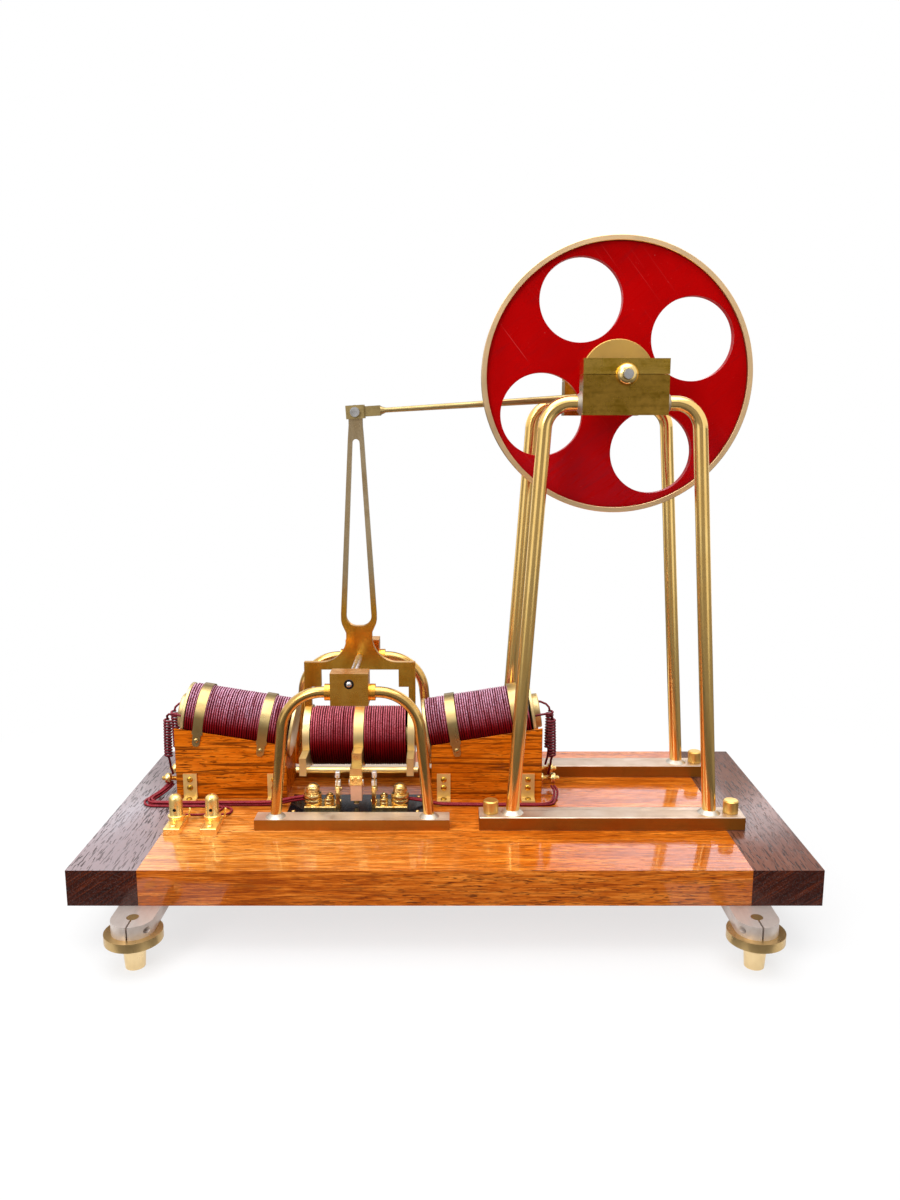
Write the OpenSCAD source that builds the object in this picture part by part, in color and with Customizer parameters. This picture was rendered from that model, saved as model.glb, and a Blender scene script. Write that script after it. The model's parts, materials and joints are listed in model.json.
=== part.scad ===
/* [Base] */
// Length of the whole base board, left to right
base_w = 500; // [460:1:620]
// Depth of the base board, front to back
base_d = 235; // [215:1:300]
// Thickness of the base board
base_t = 25; // [18:1:40]
// Width of each end cleat, which runs front to back
cleat_w = 47; // [30:1:60]
// Width of each foot runner under the board
runner_w = 28; // [22:1:40]
// Thickness of a foot runner
runner_t = 9; // [7:0.5:12]
// How far the centre of a levelling screw lies outside the board
foot_out = 15; // [12:0.5:30]
// Distance between the centre lines of the two runners
runner_span = 404; // [340:1:440]
// Diameter of the adjusting disc of a levelling foot
foot_disc_d = 37.5; // [32:0.5:45]
// Thickness of the adjusting disc
foot_disc_t = 6; // [4:0.5:9]
// Height of the tapered peg under the adjusting disc
foot_peg_h = 19; // [12:0.5:30]
// Diameter of the threaded stud of a levelling foot
foot_stud_d = 8; // [6:0.5:10]

/* [Flywheel stand] */
// Place of the crankshaft, left to right, from the middle of the board
wheel_x = 120.5; // [110:0.5:135]
// Height of the crankshaft above the top of the board
shaft_h = 321.2; // [300:0.1:380]
// Length of each bar that carries the flywheel stand
wheel_bar_l = 192; // [180:1:230]
// Height of those bars
wheel_bar_t = 10; // [7:0.5:16]
// Distance between the feet of the two tubes of one arch
wheel_foot_span = 143.5; // [130:0.5:150]
// Diameter of the tubes of the flywheel stand
wheel_tube_d = 10; // [8:0.5:12]
// Centre line radius of the bend at the top of each tube
wheel_bend_r = 18; // [14:0.5:19]
// Width of a crankshaft bearing block
bearing_w = 57.4; // [50:0.2:64]
// Height of the bearing block and its cap together
bearing_h = 37; // [33:0.5:44]
// Depth of the bars and bearing blocks of the flywheel stand, front to back
wheel_stand_d = 20; // [16:0.5:24]
// Diameter of the crankshaft
shaft_d = 6.5; // [5:0.1:7.5]

/* [Flywheel] */
// Outer diameter of the flywheel
flywheel_d = 190; // [170:1:205]
// Width of the flywheel rim, front to back
rim_w = 16; // [12:0.5:20]
// Radial thickness of the bare rim
rim_t = 3.6; // [2.5:0.1:6]
// Thickness of the painted disc
disc_t = 8; // [5:0.5:11]
// Diameter of each of the four round holes in the disc
disc_hole_d = 58; // [40:0.5:60]
// Distance from the shaft to the centre of each hole
disc_hole_at = 58.5; // [55:0.5:60]
// Turn of the holes at rest, in degrees
disc_turn = 26.4; // [0:0.1:89]
// Diameter of the raised hub
hub_d = 51; // [40:0.5:52]
// Throw of the crank
crank_throw = 12.3; // [8:0.1:13]

/* [Rocker] */
// Place of the rocker pivot, left to right, from the middle of the board
rocker_x = -67.5; // [-75:0.5:-60]
// Height of the rocker pivot above the top of the board
pivot_h = 109; // [100:0.5:125]
// Length of the rocker from its pivot up to the connecting rod pin
rocker_l = 188.2; // [160:0.1:200]
// Thickness of the rocker plate
rocker_t = 5; // [3:0.5:7]
// Distance from the rocker pivot down to the axis of the moving coil
coil_drop = 64.5; // [62:0.5:75]
// Diameter of the rocker shaft
rocker_shaft_d = 4; // [3:0.1:5]
// Length of each bar that carries the rocker stand
rocker_bar_l = 141; // [136:1:160]
// Height of those bars
rocker_bar_t = 8; // [6:0.5:14]
// Depth of the bars and blocks of the rocker stand, front to back
rocker_stand_d = 15; // [12:0.5:18]
// Distance between the feet of the two tubes of one rocker arch
rocker_foot_span = 111.6; // [108:0.2:124]
// Diameter of the tubes of the rocker stand
rocker_tube_d = 8; // [6:0.5:10]

/* [Coils] */
// Diameter of the windings
coil_d = 46.6; // [40:0.2:48]
// Length of the moving winding
moving_coil_l = 76; // [66:0.5:78]
// Length of each fixed winding
fixed_coil_l = 81; // [76:0.5:96]
// Tilt of the fixed coils, which rise away from the rocker, in degrees
coil_tilt = 9.3; // [6:0.1:12]
// Distance from the rocker to the inner end of a fixed coil
fixed_coil_in = 52; // [51.5:0.5:60]
// Length of each wood cradle
cradle_l = 86; // [80:0.5:100]
// Depth of each wood cradle, front to back
cradle_d = 46; // [45:0.5:50]
// Width of a brass coil strap
strap_w = 7.5; // [5:0.5:10]

/* [Terminals] */
// Distance between the two supply terminals
terminal_pitch = 26.4; // [20:0.2:40]
// Diameter of a terminal post
terminal_d = 9.6; // [8:0.2:12]
// Height of a terminal post above the board
terminal_h = 25; // [20:0.5:32]
// Diameter of the wire hole across a terminal post
terminal_hole_d = 2.6; // [1.6:0.1:3.5]

/* [Hidden] */
$fn = 64;

// Reach of a cutting tool past the face that it opens
over = 1;
// Free gap round a pin that turns
run_gap = 0.05;
// Free gap round a screw or between seated pieces
seat_gap = 0.2;
// Overlap that joins two outlines that meet
join = 0.01;
// Facets of the flywheel's large circles
wheel_fn = 128;

// Plane of the rocker, connecting rod and coil axes, and the stands about it
rod_y = 30;
stand_front_y = -54;
stand_rear_y = rod_y + cradle_d / 2;
// How much fuller a stand tube is along its bend than along its legs
bend_swell = 0.04;

// Heights of the levelling feet, runners and board
runner_z = foot_peg_h + foot_disc_t;
board_z = runner_z + runner_t;
top_z = board_z + base_t;
foot_y = base_d / 2 + foot_out;
pinch_slot = 1.2;
pinch_hole_d = 4.2;
pinch_hole_at = 8;
foot_peg_low_d = 12.8;
foot_peg_top_d = 15.6;

// Flywheel stand
shaft_z = top_z + shaft_h;
wheel_bar_z = top_z + wheel_bar_t;
bearing_top = 10.4;
bearing_z = shaft_z + bearing_top - bearing_h;
tube_over_block = 8;
wheel_tube_z = bearing_z + tube_over_block;
wheel_lean = 3.9;
split_gap = 0.4;
bolt_head_d = 11;
bolt_head_h = 9.5;
bolt_d = 5;
bolt_from_end = 8.6;
bolt_depth = 14;
cap_screw_at = 21;
cap_screw_d = 6;
cap_screw_shank_d = 3;
cap_screw_head = 3;
cap_screw_l = 22;
bush_d = 10;
bush_head_d = 15;
bush_head_h = 5;
bush_face_d = 10;
bush_rim_t = 1.5;
shaft_proud = 3;
fillet_w = 3.2;
fillet_h = 2.6;
fillet_lip = 0.4;

// Crankshaft and flywheel, front to back
rim_front_y = -16;
disc_recess = 3;
hub_proud = 6;
hub_back = 4;
web_t = 4;
web_w = 11;
rod_eye_t = 6;
web_gap = 1;
stub_gap = 0.4;
crank_pin_d = 5;
crank_pin_z = shaft_z - crank_throw;

// Rocker stand
pivot_z = top_z + pivot_h;
rocker_bar_z = top_z + rocker_bar_t;
rocker_block_w = 27;
rocker_block_h = 23.3;
rocker_block_up = 7.6;
rocker_block_z = pivot_z + rocker_block_up - rocker_block_h;
rocker_tube_drop = 7.6;
rocker_tube_z = pivot_z - rocker_tube_drop;
rocker_lean = 5.5;
rocker_bend_r = 30;
ferrule_l = 4.5;
ferrule_d = rocker_tube_d + 4;
pivot_recess_d = 6.6;
pivot_recess = 1.5;
rocker_shaft_proud = 0.5;

// Rocker plate, as half widths about its centre line and heights from the pivot
yoke_half = 43.6;
yoke_cut_half = 30.5;
yoke_strip = 5.3;
yoke_top = -4.5;
yoke_cut_z = -10.4;
yoke_arm_z = -24.4;
yoke_foot_z = -coil_drop + 19.4;
waist_half = 10.1;
waist_edge = [[10.1, 19], [13.2, 26], [13.8, 29], [13.8, 34]];
slot_end_z = 24.5;
slot_half_low = 9.8;
slot_half_top = 2.8;
slot_low_r = 8;
slot_top_below_pin = 20;
neck_half = 5.2;
neck_low_half = 6;
shoulder_r = 20;
rocker_hub_d = 12;
rocker_hub_l = 8;

// Moving coil
coil_r = coil_d / 2;
coil_z = pivot_z - coil_drop;
flange_t = 5.3;
flange_r = coil_r + 0.9;
core_tip_d = 17;
core_tip_l = 2.6;
core_bore_d = 16;
tie_y = -8;
tie_z = coil_z - 15.5;
tie_d = 4.6;
tie_proud = 3;
tie_foot = 3.2;
tie_lug_h = 13.8;
clamp_w = 9;
clamp_drop = 3.6;
clamp_h = 8;
clamp_back_y = tie_y + 4;
clamp_lip = 1;
lug_top_z = coil_z - 2;
band_t = 1;
finger_y = -14;
finger_w = 8.4;
finger_t = 7;
finger_top = coil_z - 20;
finger_low = coil_z - 36.5;
finger_tip_d = 4;
finger_tip_l = 3.2;
nub_d = 4;
nub_l = 1.4;
nub_z = coil_z - 24;

// Connecting rod
clevis_w = 13.6;
clevis_h = 10;
clevis_cheek = 3;
clevis_gap = 0.3;
clevis_neck = 12;
clevis_neck_h = 7.6;
clevis_taper = 4;
rod_d_small = 3.6;
rod_d_large = 6.2;
rod_eye_d = 11;
clevis_pin_d = 3;
clevis_head_d = 7.2;
clevis_head_h = 2;
rod_pin_z = pivot_z + rocker_l;
rod_run = wheel_x - rocker_x;
rod_rise = crank_pin_z - rod_pin_z;
rod_l = sqrt(rod_run * rod_run + rod_rise * rod_rise);
rod_angle = atan2(rod_rise, rod_run);

// Fixed coils and cradles
fixed_coil_z = 50.4;
fixed_axis_z = top_z + fixed_coil_z;
fixed_flange_t = 2.5;
fixed_flange_r = coil_r - 0.3;
cap_disc_d = 27;
cap_disc_t = 5;
cradle_in = 56.5;
cradle_below_axis = 8;
strap_at = [22, 72];
strap_t = 1.2;
strap_tab = 20;
bracket_at = [66, 131.5];
rear_bracket_at = (rocker_bar_l / 2 + rod_run - wheel_bar_l / 2) / 2;
bracket_w = 10.5;
bracket_t = 1.6;
bracket_h = 20.5;
bracket_foot = 10;
cradle_front_y = rod_y - cradle_d / 2;
cradle_back_y = rod_y + cradle_d / 2;
fixed_total_l = fixed_coil_l + 2 * fixed_flange_t;

// Commutator
plate_w = 102;
plate_d = 38;
plate_t = 3;
plate_y = -30;
plate_z = top_z + plate_t;
post_in = 11.9;
post_t = 3.2;
post_y = -21;
post_d = 12;
post_h = 17;
post_foot_l = 27;
post_foot_t = 2.4;
post_foot_d = 16;
post_foot_front = 2;
nut_at = 33;
nut_d = 13.5;
nut_h = 8;
nut_top_d = 8;
nut_top_h = 8;
small_nut_at = 21;
small_nut_d = 6;
small_nut_h = 5;
tip_t = 1;
tip_d = 4;
tip_h = 12;
tip_back = 4;
tip_pin_d = 2;
tip_pin_h = 2;

// Supply terminals
terminal_x = -182.3;
terminal_y = -47;
terminal_base_w = 12;
terminal_base_front = 15;
terminal_base_back = 10;
terminal_base_t = 4.7;
terminal_collar_d = 12;
terminal_collar_h = 6;
terminal_hole_h = 14.5;

// Lead posts at the outer ends of the cradles, and the leads
lead_post_y = [rod_y - 10, rod_y + 12];
lead_post_h = 12;
lead_post_d = 4;
lead_post_l = 15;
lead_nut_d = 8;
lead_nut_l = 4;
lead_nut_at = 8;
lead_collar_l = 2;
pigtail_d = 6.8;
pigtail_h = 32;
pigtail_z = top_z + 29;
pigtail_out = 8.5;
wire_d = 1.8;
wire_sides = 8;
lead_pitch = 2.4;
steep = 0.9;
// Routes of the short leads under and over a pigtail, from the cradle's end
pigtail_route = [[8, 0, 29], [8, 0, 25], [7.5, 0, 21], [6.5, 0, 17.5], [6, 0, 15.2]];
function coil_end_route(out) =
    [[8.5, 0, 61.2], [8.2, out, 63.5], [6, out * 3, 65.5], [2, out * 6, 66.5],
     [-2, out * 8, 66.5], [-5.5, out * 9, 66]];
// Routes beside the cradles, from the rocker's centre line, for a lead that
// lies s to the side of the first one
function left_route(s) =
    [[149 + s, 22, 5.5], [151 + s, 18, 3.5], [155 + s, 13, 1], [158 + s, 8, 0],
     [159.5 + s, 3, 0], [159 + s, -1 - s, 0], [156 + s, -4.5 - s, 0], [150, -6 - s, 0],
     [110, -6 - s, 0], [80, -6 - s, 0], [66, -6 - s, 0.5], [57, -7.5 - s, 2.5],
     [49, -9.5 - s, 5], [40, -12.5 - s, 7.5]];
function right_route(s) =
    [[40, -12.5 - s, 7.5], [49, -9.5 - s, 5], [57, -7.5 - s, 2.5], [66, -6 - s, 0.5],
     [90, -6 - s, 0], [120, -6 - s, 0], [140, -6 - s, 0], [147 + s, -4 - s, 0],
     [150 + s, 1, 0], [152 + s, 7, 0.5], [153 + s, 13, 3], [151 + s, 18, 5.5]];
terminal_route =
    [[154, 23, 5.5], [156, 18, 3.5], [160, 13, 1], [163, 8, 0], [165, 3, 0],
     [165, -3, 0], [162, -8, 0], [156, -10.5, 0], [145, -11, 0], [120, -11, 0],
     [102, -12, 0], [96, -15, 0], [94, -20, 0], [95, -26, 0.5], [99, -32, 2],
     [101, -36, 3]];
terminal_branch = [[127, -36, 3], [124, -33, 2.5], [117, -31, 1.5], [110, -28, 1],
                   [105, -23, 0.5], [103, -18, 0], [102, -14.3, 0]];

// One bent tube of an arch, on the right of the arch's middle line
module bent_tube(foot, lean, foot_z, tube_z, stub, bend_r, tube_d) {
    corner = foot - (tube_z - foot_z) * tan(lean);
    tangent = bend_r * tan((90 - lean) / 2);
    leg = (tube_z - foot_z) / cos(lean) - tangent;
    sunk = tube_d * sin(lean);
    difference() {
        translate([corner - tangent, 0, tube_z - bend_r]) {
            rotate([90, 0, 0])
                rotate([0, 0, lean]) {
                    rotate_extrude(angle = 90 - lean)
                        translate([bend_r, 0])
                            circle(d = tube_d + bend_swell);
                    translate([bend_r, 0, 0])
                        rotate([90, 0, 0])
                            cylinder(d = tube_d, h = leg + sunk);
                }
            translate([0, 0, bend_r])
                rotate([0, -90, 0])
                    cylinder(d = tube_d, h = corner - tangent - stub);
        }
        translate([foot - tube_d, -tube_d, foot_z - 2 * tube_d])
            cube([2 * tube_d, 2 * tube_d, 2 * tube_d]);
    }
}

module wheel_arch(y) {
    for (side = [0, 1])
        translate([wheel_x, y, 0])
            mirror([side, 0, 0])
                bent_tube(wheel_foot_span / 2, wheel_lean, wheel_bar_z,
                          wheel_tube_z, bearing_w / 2, wheel_bend_r,
                          wheel_tube_d);
}

module rocker_arch(y) {
    for (side = [0, 1])
        translate([rocker_x, y, 0])
            mirror([side, 0, 0])
                bent_tube(rocker_foot_span / 2, rocker_lean, rocker_bar_z,
                          rocker_tube_z, rocker_block_w / 2, rocker_bend_r,
                          rocker_tube_d);
}

// A thin cone of solder round a tube that meets a flat face
module solder_ring(tube_d, lean) {
    difference() {
        cylinder(d1 = tube_d + 2 * fillet_w, d2 = tube_d + 2 * fillet_lip, h = fillet_h);
        rotate([0, -lean, 0])
            translate([0, 0, -tube_d])
                cylinder(d = tube_d, h = 3 * tube_d);
    }
}

module at_shaft(y) {
    translate([wheel_x, y, shaft_z])
        rotate([-90, 0, 0])
            children();
}

module at_pivot(y) {
    translate([rocker_x, y, pivot_z])
        rotate([-90, 0, 0])
            children();
}

module mirror_about_rocker(side) {
    translate([rocker_x, 0, 0])
        mirror([side, 0, 0])
            children();
}

// A cylinder along x whose middle is on the rocker's centre plane
module across(d, l, y, z) {
    translate([rocker_x - l / 2, y, z])
        rotate([0, 90, 0])
            cylinder(d = d, h = l);
}

// Places its children at each of the four bolts of the flywheel stand
module at_stand_bolts(z) {
    for (y = [stand_front_y, stand_rear_y], side = [-1, 1])
        translate([wheel_x + side * (wheel_bar_l / 2 - bolt_from_end),
                   y + wheel_stand_d / 2, z])
            children();
}

// Places its children at each of the four cap screws of the two bearings
module at_cap_screws(z) {
    for (y = [stand_front_y, stand_rear_y], side = [-1, 1])
        translate([wheel_x + side * cap_screw_at, y + wheel_stand_d / 2, z])
            children();
}

module centre_board() {
    color("chocolate")
        difference() {
            translate([-base_w / 2 + cleat_w, -base_d / 2, board_z])
                cube([base_w - 2 * cleat_w, base_d, base_t]);
            at_stand_bolts(top_z - bolt_depth)
                cylinder(d = bolt_d, h = bolt_depth + over);
        }
}

module end_cleats() {
    color("saddlebrown")
        difference() {
            for (x = [-base_w / 2, base_w / 2 - cleat_w])
                translate([x, -base_d / 2, board_z])
                    cube([cleat_w, base_d, base_t]);
            at_stand_bolts(top_z - bolt_depth)
                cylinder(d = bolt_d, h = bolt_depth + over);
        }
}

module foot_runners() {
    color("tan")
        for (side = [-1, 1])
            translate([side * runner_span / 2, 0, runner_z])
                difference() {
                    union() {
                        translate([-runner_w / 2, -foot_y, 0])
                            cube([runner_w, 2 * foot_y, runner_t]);
                        for (end = [-1, 1])
                            translate([0, end * foot_y, 0])
                                cylinder(d = runner_w, h = runner_t);
                    }
                    for (end = [-1, 1])
                        translate([0, end * foot_y, 0])
                            runner_clamp_cuts(side, end);
                }
}

// Screw hole, pinch slot and pinch screw hole at one end of a runner
module runner_clamp_cuts(side, end) {
    translate([0, 0, -over])
        cylinder(d = foot_stud_d, h = runner_t + 2 * over);
    translate([-pinch_slot / 2, end > 0 ? 0 : -runner_w, -over])
        cube([pinch_slot, runner_w, runner_t + 2 * over]);
    translate([-side * runner_w, end * pinch_hole_at, runner_t / 2])
        rotate([0, side * 90, 0])
            cylinder(d = pinch_hole_d, h = runner_w - pinch_slot);
}

module levelling_foot(side, end) {
    color("burlywood")
        translate([side * runner_span / 2, end * foot_y, 0]) {
            cylinder(d1 = foot_peg_low_d, d2 = foot_peg_top_d, h = foot_peg_h);
            translate([0, 0, foot_peg_h])
                cylinder(d = foot_disc_d, h = foot_disc_t);
            translate([0, 0, runner_z])
                cylinder(d = foot_stud_d, h = runner_t);
        }
}

module front_left_foot() {
    levelling_foot(-1, -1);
}

module front_right_foot() {
    levelling_foot(1, -1);
}

module rear_left_foot() {
    levelling_foot(-1, 1);
}

module rear_right_foot() {
    levelling_foot(1, 1);
}

module wheel_stand_bars() {
    color("darkkhaki")
        difference() {
            for (y = [stand_front_y, stand_rear_y])
                translate([wheel_x - wheel_bar_l / 2, y, top_z])
                    cube([wheel_bar_l, wheel_stand_d, wheel_bar_t]);
            at_stand_bolts(top_z - over)
                cylinder(d = bolt_d + 2 * seat_gap, h = wheel_bar_t + 2 * over);
        }
}

module wheel_arch_front() {
    color("goldenrod")
        wheel_arch(stand_front_y + wheel_stand_d / 2);
}

module wheel_arch_rear() {
    color("goldenrod")
        wheel_arch(stand_rear_y + wheel_stand_d / 2);
}

// Holes for the bushes and the cap screws of both bearings
module bearing_holes() {
    for (y = [stand_front_y, stand_rear_y])
        at_shaft(y - over)
            cylinder(d = bush_d, h = wheel_stand_d + 2 * over);
    at_cap_screws(shaft_z + bearing_top - cap_screw_l)
        cylinder(d = cap_screw_shank_d, h = cap_screw_l + over);
}

module bearing_blocks() {
    color("darkgoldenrod")
        difference() {
            for (y = [stand_front_y, stand_rear_y])
                translate([wheel_x - bearing_w / 2, y, bearing_z])
                    cube([bearing_w, wheel_stand_d,
                          bearing_h - bearing_top - split_gap / 2]);
            bearing_holes();
        }
}

module bearing_caps() {
    color("darkgoldenrod")
        difference() {
            for (y = [stand_front_y, stand_rear_y])
                translate([wheel_x - bearing_w / 2, y, shaft_z + split_gap / 2])
                    cube([bearing_w, wheel_stand_d, bearing_top - split_gap / 2]);
            bearing_holes();
            at_cap_screws(shaft_z + bearing_top - cap_screw_head)
                cylinder(d = cap_screw_d + 2 * seat_gap, h = cap_screw_head + over);
        }
}

// One flanged bush whose domed head lies outside the block, at negative y
module shaft_bush() {
    rotate([-90, 0, 0])
        difference() {
            union() {
                cylinder(d = bush_d, h = wheel_stand_d);
                translate([0, 0, -bush_head_h])
                    cylinder(d1 = bush_face_d, d2 = bush_head_d,
                             h = bush_head_h - bush_rim_t);
                translate([0, 0, -bush_rim_t])
                    cylinder(d = bush_head_d, h = bush_rim_t);
            }
            translate([0, 0, -bush_head_h - over])
                cylinder(d = shaft_d + 2 * run_gap,
                         h = wheel_stand_d + bush_head_h + 2 * over);
        }
}

module shaft_bushes() {
    color("gold") {
        translate([wheel_x, stand_front_y, shaft_z])
            shaft_bush();
        translate([wheel_x, stand_rear_y + wheel_stand_d, shaft_z])
            mirror([0, 1, 0])
                shaft_bush();
    }
}

module stand_bolts() {
    color("gold") {
        at_stand_bolts(wheel_bar_z)
            cylinder(d = bolt_head_d, h = bolt_head_h);
        at_stand_bolts(top_z - bolt_depth)
            cylinder(d = bolt_d, h = bolt_depth + wheel_bar_t);
        at_cap_screws(shaft_z + bearing_top - cap_screw_head)
            cylinder(d = cap_screw_d, h = cap_screw_head);
        at_cap_screws(shaft_z + bearing_top - cap_screw_l)
            cylinder(d = cap_screw_shank_d, h = cap_screw_l);
    }
}

module solder_fillets() {
    color("silver") {
        for (y = [stand_front_y, stand_rear_y], side = [0, 1])
            translate([wheel_x, y + wheel_stand_d / 2, 0])
                mirror([side, 0, 0]) {
                    translate([wheel_foot_span / 2, 0, wheel_bar_z])
                        solder_ring(wheel_tube_d, wheel_lean);
                    translate([bearing_w / 2, 0, wheel_tube_z])
                        rotate([0, 90, 0])
                            solder_ring(wheel_tube_d, 0);
                }
        for (y = [stand_front_y, stand_rear_y], side = [0, 1])
            translate([rocker_x, y + rocker_stand_d / 2, 0])
                mirror([side, 0, 0])
                    translate([rocker_foot_span / 2, 0, rocker_bar_z])
                        solder_ring(rocker_tube_d, rocker_lean);
    }
}

module flywheel_rim() {
    color("darkgoldenrod")
        at_shaft(rim_front_y)
            difference() {
                cylinder(d = flywheel_d, h = rim_w, $fn = wheel_fn);
                translate([0, 0, -over])
                    cylinder(d = flywheel_d - 2 * rim_t, h = rim_w + 2 * over, $fn = wheel_fn);
            }
}

module flywheel_disc() {
    color("firebrick")
        at_shaft(rim_front_y + disc_recess)
            difference() {
                cylinder(d = flywheel_d - 2 * rim_t, h = disc_t, $fn = wheel_fn);
                translate([0, 0, -over])
                    cylinder(d = shaft_d, h = disc_t + 2 * over);
                for (turn = [0 : 90 : 270])
                    rotate([0, 0, -disc_turn - turn])
                        translate([disc_hole_at, 0, -over])
                            cylinder(d = disc_hole_d, h = disc_t + 2 * over);
            }
}

module flywheel_hub() {
    color("khaki")
        for (face = [[rim_front_y + disc_recess - hub_proud, hub_proud],
                     [rim_front_y + disc_recess + disc_t, hub_back]])
            at_shaft(face[0])
                difference() {
                    cylinder(d = hub_d, h = face[1]);
                    translate([0, 0, -over])
                        cylinder(d = shaft_d, h = face[1] + 2 * over);
                }
}

// One crank web with its piece of shaft running to y_end and its stub pin
module crank_half(y_end, inward) {
    web_face = rod_y - inward * (rod_eye_t / 2 + web_gap);
    web_back = web_face - inward * web_t;
    web_y = min(web_face, web_back);
    at_shaft(web_y)
        cylinder(d = web_w, h = web_t);
    translate([wheel_x - web_w / 2, web_y, crank_pin_z])
        cube([web_w, web_t, crank_throw]);
    translate([wheel_x, web_y, crank_pin_z])
        rotate([-90, 0, 0])
            cylinder(d = web_w, h = web_t);
    at_shaft(min(y_end, web_back))
        cylinder(d = shaft_d, h = abs(y_end - web_back));
    translate([wheel_x, min(web_face, web_face + inward * (web_gap - stub_gap)),
               crank_pin_z])
        rotate([-90, 0, 0])
            cylinder(d = crank_pin_d, h = web_gap - stub_gap);
}

module crankshaft() {
    color("lightsteelblue") {
        crank_half(stand_front_y - bush_head_h - shaft_proud, 1);
        crank_half(stand_rear_y + wheel_stand_d + bush_head_h + shaft_proud, -1);
    }
}

module rocker_stand_bars() {
    color("darkkhaki")
        for (y = [stand_front_y, stand_rear_y])
            translate([rocker_x - rocker_bar_l / 2, y, top_z])
                cube([rocker_bar_l, rocker_stand_d, rocker_bar_t]);
}

module rocker_arch_front() {
    color("goldenrod")
        rocker_arch(stand_front_y + rocker_stand_d / 2);
}

module rocker_arch_rear() {
    color("goldenrod")
        rocker_arch(stand_rear_y + rocker_stand_d / 2);
}

module rocker_blocks() {
    color("darkgoldenrod")
        for (face = [[stand_front_y, stand_front_y - over],
                     [stand_rear_y, stand_rear_y + rocker_stand_d - pivot_recess]])
            difference() {
                union() {
                    translate([rocker_x - rocker_block_w / 2, face[0], rocker_block_z])
                        cube([rocker_block_w, rocker_stand_d, rocker_block_h]);
                    across(ferrule_d, rocker_block_w + 2 * ferrule_l,
                           face[0] + rocker_stand_d / 2, rocker_tube_z);
                }
                for (side = [0, 1])
                    mirror_about_rocker(side)
                        translate([rocker_block_w / 2, face[0] + rocker_stand_d / 2,
                                   rocker_tube_z])
                            rotate([0, 90, 0])
                                cylinder(d = rocker_tube_d, h = ferrule_l + over);
                at_pivot(face[0] - over)
                    cylinder(d = rocker_shaft_d + 2 * run_gap, h = rocker_stand_d + 2 * over);
                at_pivot(face[1])
                    cylinder(d = pivot_recess_d, h = pivot_recess + over);
            }
}

// Right half of the rocker outline, pivot at the origin
module rocker_half() {
    polygon([[0, yoke_cut_z], [yoke_cut_half, yoke_cut_z],
             [yoke_cut_half, yoke_arm_z],
             [yoke_half - yoke_strip, yoke_arm_z],
             [yoke_half - yoke_strip, yoke_foot_z],
             [yoke_half, yoke_foot_z],
             [yoke_half, yoke_top], [0, yoke_top]]);
    difference() {
        translate([0, yoke_top])
            square([waist_half + shoulder_r, shoulder_r]);
        translate([waist_half + shoulder_r, yoke_top + shoulder_r])
            circle(r = shoulder_r);
    }
    polygon(concat([[0, yoke_top], [waist_half, yoke_top]], waist_edge,
                   [[neck_low_half, rocker_l - slot_top_below_pin],
                    [neck_half, rocker_l - clevis_h], [neck_half, rocker_l],
                    [0, rocker_l]]));
    translate([0, rocker_l])
        intersection() {
            circle(r = neck_half);
            square([neck_half, 2 * neck_half]);
        }
}

// Right half of the long slot
module rocker_slot_half() {
    top = rocker_l - slot_top_below_pin - slot_half_top;
    polygon([[0, slot_end_z + slot_low_r],
             [slot_half_low, slot_end_z + slot_low_r],
             [slot_half_top, top], [0, top]]);
    square_r = slot_half_low - slot_low_r;
    translate([0, slot_end_z])
        square([square_r, slot_low_r + join]);
    intersection() {
        translate([square_r, slot_end_z + slot_low_r])
            circle(r = slot_low_r);
        translate([0, slot_end_z])
            square([slot_half_low, slot_low_r + join]);
    }
    intersection() {
        translate([0, top])
            circle(r = slot_half_top);
        translate([0, top - join])
            square([slot_half_top, 2 * slot_half_top]);
    }
}

module rocker_frame() {
    color("peru")
        difference() {
            union() {
                for (side = [0, 1])
                    mirror_about_rocker(side)
                        translate([0, rod_y + rocker_t / 2, pivot_z])
                            rotate([90, 0, 0])
                                linear_extrude(rocker_t)
                                    difference() {
                                        rocker_half();
                                        rocker_slot_half();
                                    }
                at_pivot(rod_y)
                    cylinder(d = rocker_hub_d, h = rocker_t / 2 + rocker_hub_l);
            }
            at_pivot(rod_y - rocker_t)
                cylinder(d = rocker_shaft_d, h = 2 * rocker_t + rocker_hub_l);
            translate([rocker_x, rod_y - rocker_t, rod_pin_z])
                rotate([-90, 0, 0])
                    cylinder(d = clevis_pin_d + 2 * run_gap, h = 2 * rocker_t);
        }
}

module rocker_shaft() {
    color("gainsboro")
        at_pivot(stand_front_y - rocker_shaft_proud)
            cylinder(d = rocker_shaft_d,
                     h = stand_rear_y + rocker_stand_d - stand_front_y
                         + 2 * rocker_shaft_proud);
}

module moving_bobbin() {
    flange_in = moving_coil_l / 2;
    color("lightgoldenrodyellow")
        difference() {
            union() {
                across(core_bore_d, moving_coil_l, rod_y, coil_z);
                for (side = [0, 1])
                    mirror_about_rocker(side) {
                        translate([flange_in, rod_y, coil_z])
                            rotate([0, 90, 0])
                                cylinder(r = flange_r, h = flange_t);
                        translate([flange_in + flange_t, rod_y, coil_z])
                            rotate([0, 90, 0])
                                cylinder(d = core_tip_d, h = core_tip_l);
                        translate([flange_in, tie_y - tie_d, tie_z - tie_foot])
                            cube([flange_t, rod_y - tie_y, tie_lug_h]);
                    }
            }
            for (side = [0, 1])
                mirror_about_rocker(side)
                    translate([yoke_half - yoke_strip, rod_y - rocker_t / 2,
                               pivot_z + yoke_foot_z])
                        cube([yoke_strip + over, rocker_t, flange_r]);
            across(tie_d, 3 * moving_coil_l, tie_y, tie_z);
        }
}

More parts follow.
